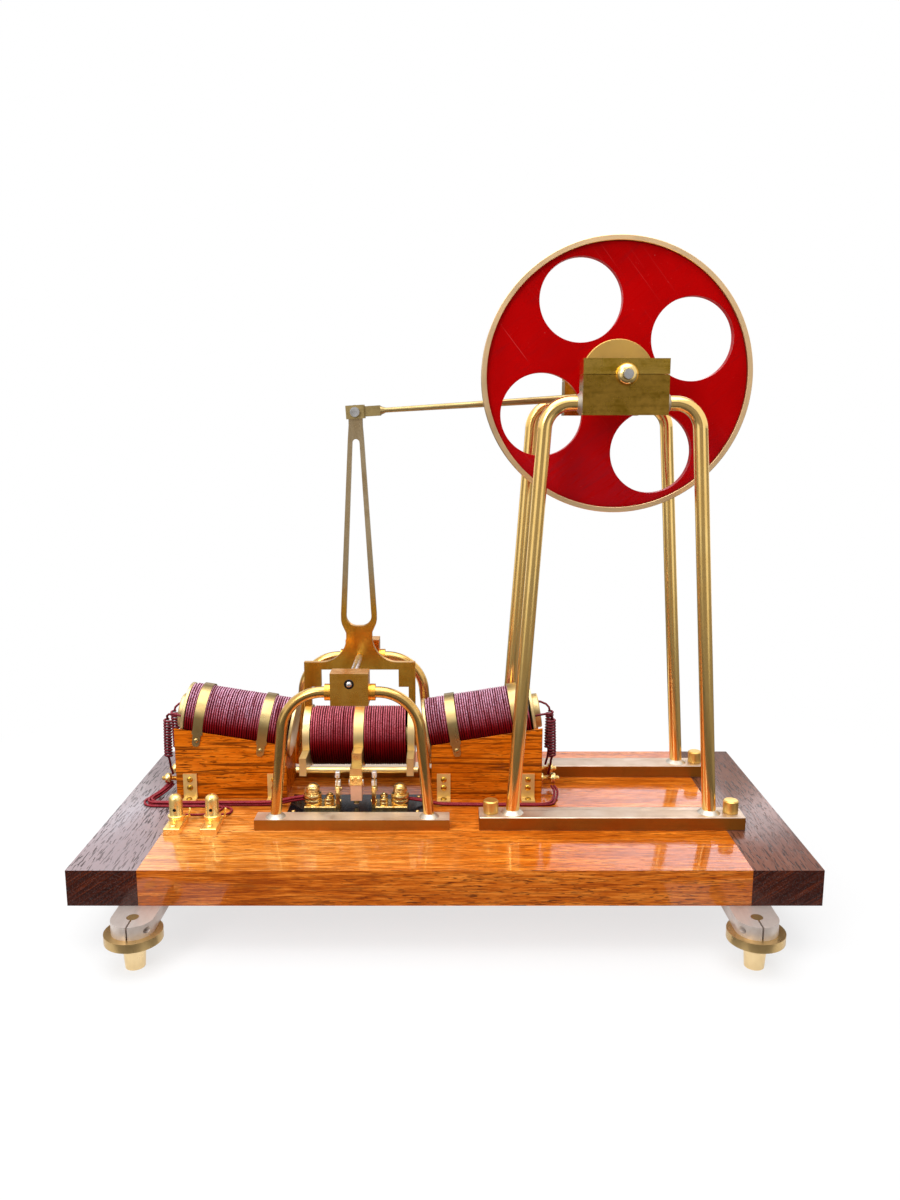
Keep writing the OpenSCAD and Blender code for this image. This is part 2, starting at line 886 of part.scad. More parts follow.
module moving_winding() {
    color("maroon")
        difference() {
            across(coil_d, moving_coil_l, rod_y, coil_z);
            across(core_bore_d, moving_coil_l + 2 * over, rod_y, coil_z);
        }
}

module moving_clamp() {
    rod_span = moving_coil_l + 2 * flange_t + 2 * tie_proud;
    color("khaki") {
        across(tie_d, rod_span, tie_y, tie_z);
        difference() {
            union() {
                across(coil_d + 2 * seat_gap + 2 * band_t, strap_w, rod_y, coil_z);
                translate([rocker_x - strap_w / 2, tie_y - clamp_lip, tie_z])
                    cube([strap_w, rod_y - tie_y, lug_top_z - tie_z]);
            }
            across(coil_d + 2 * seat_gap, 2 * strap_w, rod_y, coil_z);
        }
        translate([rocker_x - clamp_w / 2, finger_y - finger_t / 2, tie_z - clamp_drop])
            cube([clamp_w, clamp_back_y - finger_y + finger_t / 2, clamp_h]);
    }
}

module contact_finger() {
    color("lightsalmon") {
        translate([rocker_x - finger_w / 2, finger_y - finger_t / 2, finger_low])
            cube([finger_w, finger_t, tie_z - clamp_drop - finger_low]);
        translate([rocker_x, finger_y, finger_low - finger_tip_l])
            cylinder(d = finger_tip_d, h = finger_tip_l);
        across(nub_d, finger_w + 2 * nub_l, finger_y, nub_z);
    }
}

module at_rod_pin() {
    translate([rocker_x, rod_y, rod_pin_z])
        rotate([0, -rod_angle, 0])
            children();
}

module connecting_rod() {
    fork_w = rocker_t + 2 * clevis_gap;
    fork_y = fork_w / 2 + clevis_cheek;
    neck_end = clevis_w / 2 + clevis_neck;
    color("darkkhaki")
        at_rod_pin()
            difference() {
                union() {
                    translate([-clevis_w / 2, -fork_y, -clevis_h / 2])
                        cube([clevis_w, 2 * fork_y, clevis_h]);
                    translate([clevis_w / 2 - over, -clevis_neck_h / 2, -clevis_neck_h / 2])
                        cube([clevis_neck + over, clevis_neck_h, clevis_neck_h]);
                    translate([neck_end - over, 0, 0])
                        rotate([0, 90, 0])
                            cylinder(d1 = clevis_neck_h, d2 = rod_d_small,
                                     h = clevis_taper + over);
                    translate([neck_end, 0, 0])
                        rotate([0, 90, 0])
                            cylinder(d1 = rod_d_small, d2 = rod_d_large,
                                     h = rod_l - neck_end);
                    translate([rod_l, -rod_eye_t / 2, 0])
                        rotate([-90, 0, 0])
                            cylinder(d = rod_eye_d, h = rod_eye_t);
                }
                translate([-clevis_w, -fork_w / 2, -clevis_h])
                    cube([clevis_w + clevis_w / 2, fork_w, 2 * clevis_h]);
                translate([0, -fork_y - over, 0])
                    rotate([-90, 0, 0])
                        cylinder(d = clevis_pin_d, h = 2 * fork_y + 2 * over);
                translate([rod_l, -rod_eye_t, 0])
                    rotate([-90, 0, 0])
                        cylinder(d = crank_pin_d + 2 * run_gap, h = 2 * rod_eye_t);
            }
}

module clevis_pin() {
    fork_y = rocker_t / 2 + clevis_gap + clevis_cheek;
    color("silver")
        at_rod_pin() {
            translate([0, -fork_y, 0])
                rotate([-90, 0, 0])
                    cylinder(d = clevis_pin_d, h = 2 * fork_y + clevis_head_h);
            translate([0, -fork_y - clevis_head_h, 0])
                rotate([-90, 0, 0])
                    cylinder(d = clevis_head_d, h = clevis_head_h);
        }
}

// Frame of one fixed coil: x runs along its axis from the inner end
module at_fixed_coil(side) {
    mirror_about_rocker(side)
        translate([fixed_coil_in, rod_y, fixed_axis_z])
            rotate([0, -coil_tilt, 0])
                children();
}

module along(d, l, from) {
    translate([from, 0, 0])
        rotate([0, 90, 0])
            cylinder(d = d, h = l);
}

module cradle(side) {
    slope = tan(coil_tilt);
    land_z = fixed_axis_z - cradle_below_axis
             + (cradle_in - fixed_coil_in) * slope;
    color("sienna")
        difference() {
            mirror_about_rocker(side)
                translate([0, cradle_back_y, 0])
                    rotate([90, 0, 0])
                        linear_extrude(cradle_d)
                            polygon([[cradle_in, top_z], [cradle_in + cradle_l, top_z],
                                     [cradle_in + cradle_l, land_z + cradle_l * slope],
                                     [cradle_in, land_z]]);
            at_fixed_coil(side)
                along(coil_d + 2 * seat_gap, 2 * fixed_coil_l, -fixed_coil_l / 2);
        }
}

module left_cradle() {
    cradle(1);
}

module right_cradle() {
    cradle(0);
}

module fixed_windings() {
    color("maroon")
        for (side = [0, 1])
            at_fixed_coil(side)
                difference() {
                    along(coil_d, fixed_coil_l, fixed_flange_t);
                    along(core_bore_d, fixed_total_l + 2 * over, -over);
                }
}

module fixed_bobbins() {
    color("lightgoldenrodyellow")
        for (side = [0, 1])
            at_fixed_coil(side) {
                along(core_bore_d, fixed_total_l, 0);
                along(2 * fixed_flange_r, fixed_flange_t, 0);
                along(2 * fixed_flange_r, fixed_flange_t, fixed_coil_l + fixed_flange_t);
                along(cap_disc_d, cap_disc_t, fixed_total_l);
            }
}

// Band over one fixed coil with a tab down each face of its cradle
module coil_strap() {
    outer = cradle_d / 2 + strap_t;
    rotate([90, 0, 90])
        linear_extrude(strap_w, center = true)
            difference() {
                union() {
                    circle(r = outer);
                    translate([-outer, -strap_tab])
                        square([2 * outer, strap_tab]);
                }
                circle(r = coil_d / 2 + seat_gap / 2);
                translate([-cradle_d / 2, -cradle_d])
                    square([cradle_d, cradle_d]);
            }
}

module coil_straps() {
    color("khaki")
        for (side = [0, 1], at = strap_at)
            at_fixed_coil(side)
                translate([at, 0, 0])
                    coil_strap();
}

module cradle_bracket() {
    translate([-bracket_w / 2, -bracket_t, 0])
        cube([bracket_w, bracket_t, bracket_h]);
    translate([-bracket_w / 2, -bracket_foot, 0])
        cube([bracket_w, bracket_foot, bracket_t]);
}

module cradle_brackets() {
    color("khaki")
        for (side = [0, 1])
            mirror_about_rocker(side) {
                for (at = bracket_at)
                    translate([at, cradle_front_y, top_z])
                        cradle_bracket();
                translate([rear_bracket_at, cradle_back_y, top_z])
                    mirror([0, 1, 0])
                        cradle_bracket();
            }
}

module commutator_plate() {
    color("black")
        translate([rocker_x - plate_w / 2, plate_y, top_z])
            cube([plate_w, plate_d, plate_t]);
}

module contact_posts() {
    color("gold")
        for (side = [0, 1])
            mirror_about_rocker(side) {
                translate([post_in, post_y, plate_z])
                    cube([post_t, post_d, post_h]);
                translate([post_in, post_y - post_foot_front, plate_z])
                    cube([post_foot_l, post_foot_d, post_foot_t]);
                translate([nut_at, post_y + post_d / 2, plate_z + post_foot_t]) {
                    cylinder(d = nut_d, h = nut_h);
                    cylinder(d = nut_top_d, h = nut_h + nut_top_h);
                }
                translate([small_nut_at, post_y + post_d / 2, plate_z + post_foot_t])
                    cylinder(d = small_nut_d, h = small_nut_h);
            }
}

module contact_tips() {
    color("white")
        for (side = [0, 1])
            mirror_about_rocker(side) {
                translate([post_in + post_t - tip_t, post_y + tip_back, plate_z + post_h])
                    cube([tip_t, tip_d, tip_h]);
                translate([post_in + post_t / 2, post_y + post_d / 2, plate_z + post_h])
                    cylinder(d = tip_pin_d, h = tip_pin_h);
            }
}

module terminals() {
    color("gold")
        for (side = [-1, 1])
            translate([terminal_x + side * terminal_pitch / 2, terminal_y, top_z])
                difference() {
                    union() {
                        translate([-terminal_base_w / 2, -terminal_base_front, 0])
                            cube([terminal_base_w, terminal_base_front + terminal_base_back,
                                  terminal_base_t]);
                        cylinder(d = terminal_collar_d,
                                 h = terminal_base_t + terminal_collar_h);
                        cylinder(d = terminal_d, h = terminal_h - terminal_d / 2);
                        translate([0, 0, terminal_h - terminal_d / 2])
                            sphere(d = terminal_d);
                    }
                    translate([0, -terminal_d, terminal_hole_h])
                        rotate([-90, 0, 0])
                            cylinder(d = terminal_hole_d, h = 2 * terminal_d);
                }
}

module lead_posts() {
    color("gold")
        for (side = [0, 1], y = lead_post_y)
            mirror_about_rocker(side)
                translate([cradle_in + cradle_l, y, top_z + lead_post_h])
                    rotate([0, 90, 0]) {
                        cylinder(d = lead_post_d, h = lead_post_l);
                        cylinder(d = lead_nut_d, h = lead_collar_l);
                        translate([0, 0, lead_nut_at])
                            cylinder(d = lead_nut_d, h = lead_nut_l);
                    }
}

module pigtails() {
    color("brown")
        for (side = [0, 1], y = lead_post_y)
            mirror_about_rocker(side)
                translate([cradle_in + cradle_l + pigtail_out, y, pigtail_z])
                    cylinder(d = pigtail_d, h = pigtail_h);
}

// Direction of a route at one of its points
function heading(route, i) =
    let (last = len(route) - 1,
         step = route[min(i + 1, last)] - route[max(i - 1, 0)])
    step / norm(step);

// Ring of wire_sides points square to a direction
function wire_ring(centre, ahead) =
    let (aside = cross(ahead, abs(ahead[2]) > steep ? [1, 0, 0] : [0, 0, 1]),
         u = aside / norm(aside),
         v = cross(u, ahead))
    [for (k = [0 : wire_sides - 1])
        centre + wire_d / 2 * (cos(360 * k / wire_sides) * u
                               + sin(360 * k / wire_sides) * v)];

module wire(route) {
    rings = len(route);
    polyhedron(
        points = [for (i = [0 : rings - 1])
                      each wire_ring(route[i], heading(route, i))],
        faces = concat(
            [[for (k = [0 : wire_sides - 1]) k]],
            [[for (k = [wire_sides - 1 : -1 : 0]) (rings - 1) * wire_sides + k]],
            [for (i = [0 : rings - 2], k = [0 : wire_sides - 1])
                let (next = (k + 1) % wire_sides)
                [i * wire_sides + k, (i + 1) * wire_sides + k,
                 (i + 1) * wire_sides + next, i * wire_sides + next]]));
}

module lead_wires() {
    color("brown") {
        for (side = [0, 1], y = lead_post_y)
            mirror_about_rocker(side)
                translate([cradle_in + cradle_l, y, top_z])
                    wire(pigtail_route);
        for (side = [0, 1], out = [-1, 1])
            mirror_about_rocker(side)
                translate([cradle_in + cradle_l, out < 0 ? lead_post_y[0] : lead_post_y[1],
                           top_z])
                    wire(coil_end_route(out));
        for (row = [0, 1]) {
            mirror_about_rocker(1)
                translate([0, 0, top_z + wire_d / 2])
                    wire(left_route(row * lead_pitch));
            mirror_about_rocker(0)
                translate([0, 0, top_z + wire_d / 2])
                    wire(right_route(row * lead_pitch));
        }
        mirror_about_rocker(1)
            translate([0, 0, top_z + wire_d / 2])
                for (route = [terminal_route, terminal_branch])
                    wire(route);
    }
}

centre_board();
end_cleats();
foot_runners();
front_left_foot();
front_right_foot();
rear_left_foot();
rear_right_foot();
wheel_stand_bars();
wheel_arch_front();
wheel_arch_rear();
bearing_blocks();
bearing_caps();
shaft_bushes();
stand_bolts();
solder_fillets();
flywheel_rim();
flywheel_disc();
flywheel_hub();
crankshaft();
rocker_stand_bars();
rocker_arch_front();
rocker_arch_rear();
rocker_blocks();
rocker_frame();
rocker_shaft();
moving_bobbin();
moving_winding();
moving_clamp();
contact_finger();
connecting_rod();
clevis_pin();
left_cradle();
right_cradle();
fixed_windings();
fixed_bobbins();
coil_straps();
cradle_brackets();
commutator_plate();
contact_posts();
contact_tips();
terminals();
lead_posts();
pigtails();
lead_wires();
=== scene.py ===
"""Looks of a tabletop reciprocating electric motor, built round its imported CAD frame."""
import json
from itertools import product
from math import cos, radians, sin, tau

import bmesh
import bpy
import numpy as np
from mathutils import Matrix, Vector

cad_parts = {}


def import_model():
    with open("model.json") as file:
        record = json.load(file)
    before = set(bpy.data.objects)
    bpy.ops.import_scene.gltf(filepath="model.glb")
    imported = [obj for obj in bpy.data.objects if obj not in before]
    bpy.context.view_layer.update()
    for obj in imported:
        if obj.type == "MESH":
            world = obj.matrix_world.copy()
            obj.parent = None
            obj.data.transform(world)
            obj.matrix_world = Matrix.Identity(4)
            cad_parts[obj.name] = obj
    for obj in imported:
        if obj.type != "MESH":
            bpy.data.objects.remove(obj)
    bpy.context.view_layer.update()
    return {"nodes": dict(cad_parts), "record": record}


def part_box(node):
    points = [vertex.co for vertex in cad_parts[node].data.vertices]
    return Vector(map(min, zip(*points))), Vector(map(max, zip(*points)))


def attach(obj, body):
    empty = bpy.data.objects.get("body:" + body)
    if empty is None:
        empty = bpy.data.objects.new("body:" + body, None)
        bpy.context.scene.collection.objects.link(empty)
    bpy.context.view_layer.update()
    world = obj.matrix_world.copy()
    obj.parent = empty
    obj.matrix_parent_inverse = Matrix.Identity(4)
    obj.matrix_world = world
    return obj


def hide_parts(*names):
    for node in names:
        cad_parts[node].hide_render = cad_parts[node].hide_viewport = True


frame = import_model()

MM = 0.001
RANDOM = np.random.default_rng(7)
BOTH = (-1, 1)
SIDES = ((-1, "left"), (1, "right"))
FRONT, BACK, UP = (0, -1, 0), (0, 1, 0), (0, 0, 1)

# ---------- places from the frame


def box_mm(node):
    """Lowest and highest corner of a CAD node, in millimetres."""
    low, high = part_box(node)
    return Vector(low) / MM, Vector(high) / MM


def middle(low, high):
    """The point halfway between two corners."""
    return (low + high) / 2


TOP = box_mm("centre_board")[1].z
ROCKER = middle(*box_mm("rocker_shaft"))
WHEEL = middle(*box_mm("flywheel_rim"))
PLATE_LOW, PLATE_HIGH = box_mm("commutator_plate")
CRADLE_END = box_mm("right_cradle")[1].x - ROCKER.x
CRADLE_JOINT = (TOP + 21.5) * MM
SHAFT_JOINT = box_mm("bearing_blocks")[1].z


def coil_frame(node, side):
    """Start, direction, length and radius of a coil, in millimetres.

    side is -1 or 1 for the left or right coil of a node that holds both, else 0.
    """
    points = np.array([v.co for v in frame["nodes"][node].data.vertices]) / MM
    if side:
        points = points[(points[:, 0] - ROCKER.x) * side > 0]
    centre = (points.min(0) + points.max(0)) / 2
    axis = np.linalg.svd(points - points.mean(0), full_matrices=False)[2][0]
    if axis[0] * (side or 1) < 0:
        axis = -axis
    reach = (points - centre) @ axis
    radius = np.linalg.norm(points - centre - np.outer(reach, axis), axis=1).max()
    return Vector(centre + axis * reach.min()), Vector(axis), float(np.ptp(reach)), float(radius)


def stand(place, up=UP, along=(1, 0, 0)):
    """Local frame at place whose z points up and whose x leans towards along."""
    z = Vector(up).normalized()
    x = Vector(along)
    x = (x - z * x.dot(z)).normalized()
    turn = Matrix((x, z.cross(x), z)).transposed().to_4x4()
    return Matrix.Translation(Vector(place)) @ turn


def placed(name, data):
    """A new object in the scene."""
    piece = bpy.data.objects.new(name, data)
    bpy.context.scene.collection.objects.link(piece)
    return piece


# ---------- materials

def put(tree, socket, value):
    """Links a socket to another node's output, or sets its own value."""
    if isinstance(value, bpy.types.NodeSocket):
        tree.links.new(value, socket)
    else:
        socket.default_value = (*value[:3], 1) if socket.type == "RGBA" else value


def add(tree, kind, inputs, out=0, **settings):
    """Adds a node, fills its inputs and gives one of its outputs."""
    node = tree.nodes.new(kind)
    for name, value in settings.items():
        setattr(node, name, value)
    for name, value in inputs.items():
        put(tree, node.inputs[name], value)
    return node.outputs[out]


MATERIALS = {}


class Nodes:
    """A material, kept in MATERIALS under its name, with short calls for its nodes."""

    def __init__(self, name):
        self.material = MATERIALS[name] = bpy.data.materials.new(name)
        self.material.use_nodes = True
        self.tree = self.material.node_tree
        self.shader = self.tree.nodes["Principled BSDF"]
        self.place = self.add("ShaderNodeTexCoord", {}, "Object")

    def add(self, kind, inputs, out=0, **settings):
        return add(self.tree, kind, inputs, out, **settings)

    def noise(self, scale, detail, rough, distort=0.0, turn=(0, 0, 0), vector=None):
        """Noise of one scale, or stretched by three scales after a turn in degrees."""
        if isinstance(scale, (tuple, list)):
            turn = [radians(a) for a in turn]
            vector = self.add("ShaderNodeMapping", {"Vector": self.place, "Rotation": turn})
            vector = self.add("ShaderNodeMapping", {"Vector": vector, "Scale": scale})
            scale = 1.0
        return self.add("ShaderNodeTexNoise", {
            "Vector": vector or self.place, "Scale": scale, "Detail": detail,
            "Roughness": rough, "Distortion": distort}, "Fac")

    def math(self, operation, a, b=0.0):
        return self.add("ShaderNodeMath", {0: a, 1: b}, operation=operation)

    def vector(self, operation, a, b=(0, 0, 0), out=0):
        return self.add("ShaderNodeVectorMath", {0: a, 1: b}, out, operation=operation)

    def times(self, a, b):
        return self.math("MULTIPLY", a, b)

    def blend(self, *weighted):
        """Sum of values, each given as (value, weight)."""
        parts = [self.times(value, weight) for value, weight in weighted]
        total = parts[0]
        for part in parts[1:]:
            total = self.math("ADD", total, part)
        return total

    def ramp(self, value, *stops):
        node = self.tree.nodes.new("ShaderNodeValToRGB")
        elements = node.color_ramp.elements
        while len(elements) < len(stops):
            elements.new(0.5)
        for element, (at, colour) in zip(elements, stops):
            element.position = at
            element.color = (*colour, 1)
        put(self.tree, node.inputs[0], value)
        return node.outputs[0]

    def spread(self, value, low, high, to_low=0.0, to_high=1.0):
        """to_low where the value is at low or past it, rising evenly to to_high at high."""
        return self.add("ShaderNodeMapRange", {
            "Value": value, "From Min": low, "From Max": high, "To Min": to_low,
            "To Max": to_high}, clamp=True)

    def mix(self, share, a, b, blend="MIX"):
        return self.add("ShaderNodeMix", {0: share, 6: a, 7: b}, 2, data_type="RGBA",
                        blend_type=blend)

    def axis(self, name, source=None):
        return self.add("ShaderNodeSeparateXYZ", {0: source or self.place}, name)

    def facing(self, name):
        """How far a face looks along one axis, -1 to 1."""
        return self.axis(name, self.add("ShaderNodeNewGeometry", {}, "True Normal"))

    def glow(self, colour, strength):
        return self.add("ShaderNodeEmission", {"Color": colour, "Strength": strength})

    def surface(self, shader):
        put(self.tree, self.tree.nodes["Material Output"].inputs["Surface"], shader)
        return self.material

    def bump(self, height, distance, strength):
        return self.add("ShaderNodeBump", {"Distance": distance, "Strength": strength,
                                           "Height": height})

    def finish(self, colour, rough, metal=0.0, normal=None, **sockets):
        sockets = {"Base Color": colour, "Roughness": rough, "Metallic": metal, **sockets}
        if normal is not None:
            sockets["Normal"] = normal
            if "Coat_Weight" in sockets:
                sockets["Coat Normal"] = normal
        for name, value in sockets.items():
            put(self.tree, self.shader.inputs[name.replace("_", " ")], value)


def wood(name, light, mid, dark, pore, lean, gloss, coat, streaks, contrast=0.2, joint_z=None):
    """Varnished oak with its grain along x; lean tips its rings in degrees.

    With joint_z it has long ring lines and a glue joint at that height. Without, it has
    short broken lines, a painted highlight on top and a painted pool of light at its left front.
    """
    n = Nodes(name)
    turn = (lean, 0, 0)
    sway = n.noise((9, 30, 30), 3, 0.5, turn=turn)
    bands = n.noise((7, 110, 110), 4, 0.6, 1.2, turn)
    streak = n.noise((30, 620, 620), 4, 0.65, 0.8, turn)
    fibre = n.noise((80, 1700, 1700), 2, 0.6, turn=turn)
    flecks = n.noise((120, 1150, 1150), 2, 0.5, 0.3, turn)
    tone = n.blend((n.spread(sway, 0.25, 0.75), 0.2), (n.spread(bands, 0.3, 0.7), 0.22),
                   (n.spread(streak, 0.32, 0.68), 0.33), (n.spread(fibre, 0.3, 0.7), 0.25))
    colour = n.ramp(tone, (0.5 - contrast, dark), (0.5, mid), (0.5 + contrast, light))
    pores = n.times(n.spread(flecks, 0.57, 0.62), n.spread(sway, 0.36, 0.62, 0.35, 1.0))
    if joint_z is None:
        contour = n.math("ABSOLUTE", n.math("SUBTRACT", bands, 0.5))
        ring = n.spread(contour, 0.010, 0.032, 1.0, 0.0)
        broken = n.spread(streak, 0.42, 0.56, 0.15, 0.85)
    else:
        ridges = n.math("PINGPONG", n.noise((4, 105, 105), 2, 0.5, 0.3, turn), 0.09)
        ring = n.spread(ridges, 0.012, 0.03, 1.0, 0.0)
        broken = n.spread(streak, 0.40, 0.52, 0.35, 0.9)
    veins = n.times(n.times(ring, broken), streaks)
    dark_share = n.math("MAXIMUM", n.times(pores, 0.8), veins)
    if joint_z is not None:
        from_joint = n.math("ABSOLUTE", n.math("SUBTRACT", n.axis("Z"), joint_z))
        dark_share = n.math("MAXIMUM", dark_share, n.spread(from_joint, 0.00012, 0.0003, 0.9, 0))
    colour = n.mix(dark_share, colour, pore)
    if joint_z is None:
        # Painted light: top faces are lightened as if lit from above, and more towards the left
        # front as a painted pool of light.
        top = n.spread(n.facing("Z"), 0.6, 0.8)
        corner = n.times(n.spread(n.axis("X"), 0.04, -0.2), n.spread(n.axis("Y"), 0.06, -0.08))
        colour = n.mix(top, colour, (1.28, 1.28, 1.1), "MULTIPLY")
        colour = n.mix(n.times(top, corner), colour, (1.2, 2.0, 6.0), "MULTIPLY")
    height = n.blend((fibre, 0.25), (dark_share, -0.8), (sway, 1.2))
    n.finish(colour, n.spread(fibre, 0.3, 0.7, gloss, gloss + 0.1),
             normal=n.bump(height, 0.00014, 0.3), IOR=1.45, Specular_IOR_Level=0.0,
             Coat_Weight=coat, Coat_Roughness=0.05, Coat_IOR=1.45)


def cleat_oak():
    """Dark oak with sawn ends that show slanted rings; the left cleat's top has a painted sheen.
    """
    n = Nodes("dark_oak")
    along = (0, 0, 90)
    sway = n.noise((9, 30, 30), 3, 0.5, turn=along)
    streak = n.noise((22, 420, 420), 4, 0.6, 0.3, along)
    flecks = n.noise((85, 760, 760), 2, 0.5, 0.3, along)
    colour = n.ramp(n.blend((sway, 0.5), (streak, 0.5)), (0.34, (0.10, 0.034, 0.019)),
                    (0.52, (0.18, 0.064, 0.038)), (0.72, (0.25, 0.100, 0.062)))
    # Painted sheen: the top faces of the left cleat are painted pale grey, standing for a
    # reflection.
    painted_sheen = n.times(n.spread(n.facing("Z"), 0.6, 0.8),
                       n.spread(n.axis("X"), -0.1, -0.2, 0.0, 0.7))
    colour = n.mix(painted_sheen, colour, (0.40, 0.34, 0.365))
    pores = n.times(n.spread(flecks, 0.56, 0.61), n.spread(sway, 0.34, 0.6, 0.5, 1.0))
    colour = n.mix(n.times(pores, 0.9), colour, (0.02, 0.007, 0.005))
    ray = n.noise((30, 30, 900), 3, 0.6, 0.25, (0, 34, 0))
    sawn = n.ramp(n.blend((ray, 0.75), (n.noise(1900, 2, 0.6), 0.25)),
                  (0.4, (0.024, 0.002, 0.0002)), (0.55, (0.060, 0.007, 0.0004)),
                  (0.72, (0.16, 0.024, 0.002)))
    ends = n.spread(n.math("ABSOLUTE", n.facing("Y")), 0.6, 0.8)
    height = n.blend((pores, -1.0), (streak, 0.4))
    n.finish(n.mix(ends, colour, sawn), n.spread(streak, 0.3, 0.7, 0.24, 0.36),
             normal=n.bump(height, 0.0004, 0.8), IOR=1.45, Specular_IOR_Level=0.05,
             Coat_Weight=0.75, Coat_Roughness=0.22, Coat_IOR=1.5)


def brass(name, colour, stain, rough=0.2, mottle=0.4, streaks=0.0, brushed="X", cloud=55,
          metal=1.0, side=None, above=None, grit=0.3, ribs=False):
    """Brass with cloudy tarnish, long streaks along brushed and fine rubbing marks.

    side is (axis, tone): the faces that don't look along that axis get that darker tone as
    painted shade; above is (height, fade, colour, stain) of the part over that height in mm.
    """
    n = Nodes(name)
    stretch = [1 if axis == brushed else 14 for axis in "XYZ"]
    clouds = n.noise(cloud, 4, 0.55, 0.35)
    spots = n.noise(4 * cloud, 3, 0.5, 0.2)
    runs = n.noise([20 * s for s in stretch], 4, 0.6, 0.4)
    lines = n.noise([110 * s for s in stretch], 3, 0.6)
    fine = n.noise(1500, 3, 0.6)
    stained = n.blend((n.spread(clouds, 0.36, 0.68), mottle),
                      (n.spread(spots, 0.48, 0.74), mottle * 0.4),
                      (n.spread(runs, 0.50, 0.66), streaks))
    stained = n.spread(stained, 0.0, 1.0)
    shade = n.mix(stained, colour, stain)
    # Painted shade: faces that don't look along the side axis take the darker side tone.
    if side is not None:
        across, tone = side
        aside = n.spread(n.math("ABSOLUTE", n.facing(across)), 0.3, 0.7, 1.0, 0.0)
        shade = n.mix(aside, shade, n.mix(stained, tone, [c * 0.7 for c in tone]))
    if above is not None:
        height, fade, upper, upper_stain = above
        share = n.spread(n.axis("Z"), (height - fade) * MM, (height + fade) * MM)
        shade = n.mix(share, shade, n.mix(stained, upper, upper_stain))
    uneven = n.blend((n.spread(clouds, 0.3, 0.75, 0.75, 1.35), rough),
                     (n.spread(fine, 0.4, 0.7), 0.15 * grit))
    if ribs:
        normal = n.bump(lines, 0.0004, 0.5)
    else:
        normal = n.bump(n.blend((lines, 0.5), (fine, grit), (clouds, 1.5)), 0.00004, 0.35)
    n.finish(shade, uneven, metal, normal)


def plain_metal(name, colour, rough, bumps=0.3, dark=0.6, metal=1.0):
    n = Nodes(name)
    clouds = n.noise(130, 5, 0.6, 0.4)
    shade = n.mix(n.spread(clouds, 0.38, 0.72), colour, [c * dark for c in colour])
    height = n.blend((n.noise(1400, 3, 0.6), 0.4), (clouds, 1.0))
    n.finish(shade, n.spread(clouds, 0.3, 0.7, rough * 0.7, rough * 1.5), metal,
             n.bump(height, 0.00006, bumps))


def enamel():
    """Deep red enamel with brush marks and fine scratches."""
    n = Nodes("red_enamel")
    clouds = n.noise(16, 4, 0.5, 0.5)
    brush = n.noise((45, 45, 420), 4, 0.6, 0.8, (0, 38, 0))
    scratch = n.noise((12, 12, 1500), 2, 0.5, 0.3, (0, -52, 0))
    dust = n.noise(1300, 2, 0.5)
    colour = n.ramp(clouds, (0.3, (0.34, 0.0003, 0.0006)), (0.7, (0.45, 0.0005, 0.0008)))
    # A more purple, brush-marked patch towards the bottom of the disc.
    purple_low = n.times(n.spread(n.axis("Z"), (WHEEL.z - 25) * MM, (WHEEL.z - 60) * MM),
                   n.spread(brush, 0.36, 0.66, 0.1, 0.9))
    for share, over in (
            (purple_low, (0.35, 0.005, 0.010)),
            (n.spread(brush, 0.55, 0.75, 0.0, 0.4), (0.20, 0.003, 0.005)),
            (n.spread(scratch, 0.69, 0.75, 0.0, 0.35), (0.62, 0.07, 0.07)),
            (n.spread(dust, 0.74, 0.78, 0.0, 0.5), (0.7, 0.3, 0.28))):
        colour = n.mix(share, colour, over)
    height = n.blend((brush, 0.5), (clouds, 1.4), (scratch, -0.3))
    n.finish(colour, n.spread(brush, 0.3, 0.7, 0.24, 0.4),
             normal=n.bump(height, 0.0003, 0.3), IOR=1.45, Specular_IOR_Level=0.04)


def winding_wire(name, deep, lit, glow, node=None, side=0):
    """Varnished cotton-covered wire: painted shade between and below the turns, painted highlight
    on top.

    node and side name the coil whose axis the turns go round; a plain lead has none.
    """
    n = Nodes(name)
    weave = n.noise(1500, 2, 0.6, 0.6)
    patches = n.noise(90, 3, 0.6)
    upward = n.facing("Z")
    line = 1.0
    if node is None:
        rows = n.noise((90, 14, 14), 1, 0.5)
    else:
        start, axis, _, radius = coil_frame(node, side)
        offset = n.vector("SUBTRACT", n.place, start * MM)
        near = n.vector("DOT_PRODUCT", offset, axis, "Value")
        far = n.vector("LENGTH", offset, out="Value")
        out = n.math("SQRT", n.math("SUBTRACT", n.times(far, far), n.times(near, near)))
        line = n.spread(out, (radius - 0.30) * MM, (radius - 0.06) * MM)
        along = n.add("ShaderNodeCombineXYZ", {"X": n.times(near, 620.0)})
        rows = n.noise(1.0, 1, 0.5, vector=along)
    tone = n.blend((rows, 0.5), (patches, 0.3), (weave, 0.2))
    colour = n.ramp(tone, (0.36, deep), (0.64, lit))
    # Painted highlight: faces looking up take the glow colour, only on the crest of each turn of a
    # coil.
    over = n.times(n.spread(upward, 0.0, 0.95), n.spread(weave, 0.4, 0.58, 0.1, 1.0))
    colour = n.mix(n.times(over, line), colour, glow)
    # Painted shade: faces looking down darken towards near black.
    black = [c * 0.06 for c in deep]
    colour = n.mix(n.spread(upward, -0.75, 0.2, 0.9, 0.0), colour, black)
    if node is not None:
        # Painted shade: the grooves between the turns darken towards near black.
        crest = n.spread(out, (radius - 0.55) * MM, (radius - 0.12) * MM)
        colour = n.mix(n.math("SUBTRACT", 1.0, crest), colour, black)
    n.finish(colour, n.spread(weave, 0.3, 0.7, 0.3, 0.5),
             normal=n.bump(weave, 0.00015, 0.4), IOR=1.45, Specular_IOR_Level=0.05)


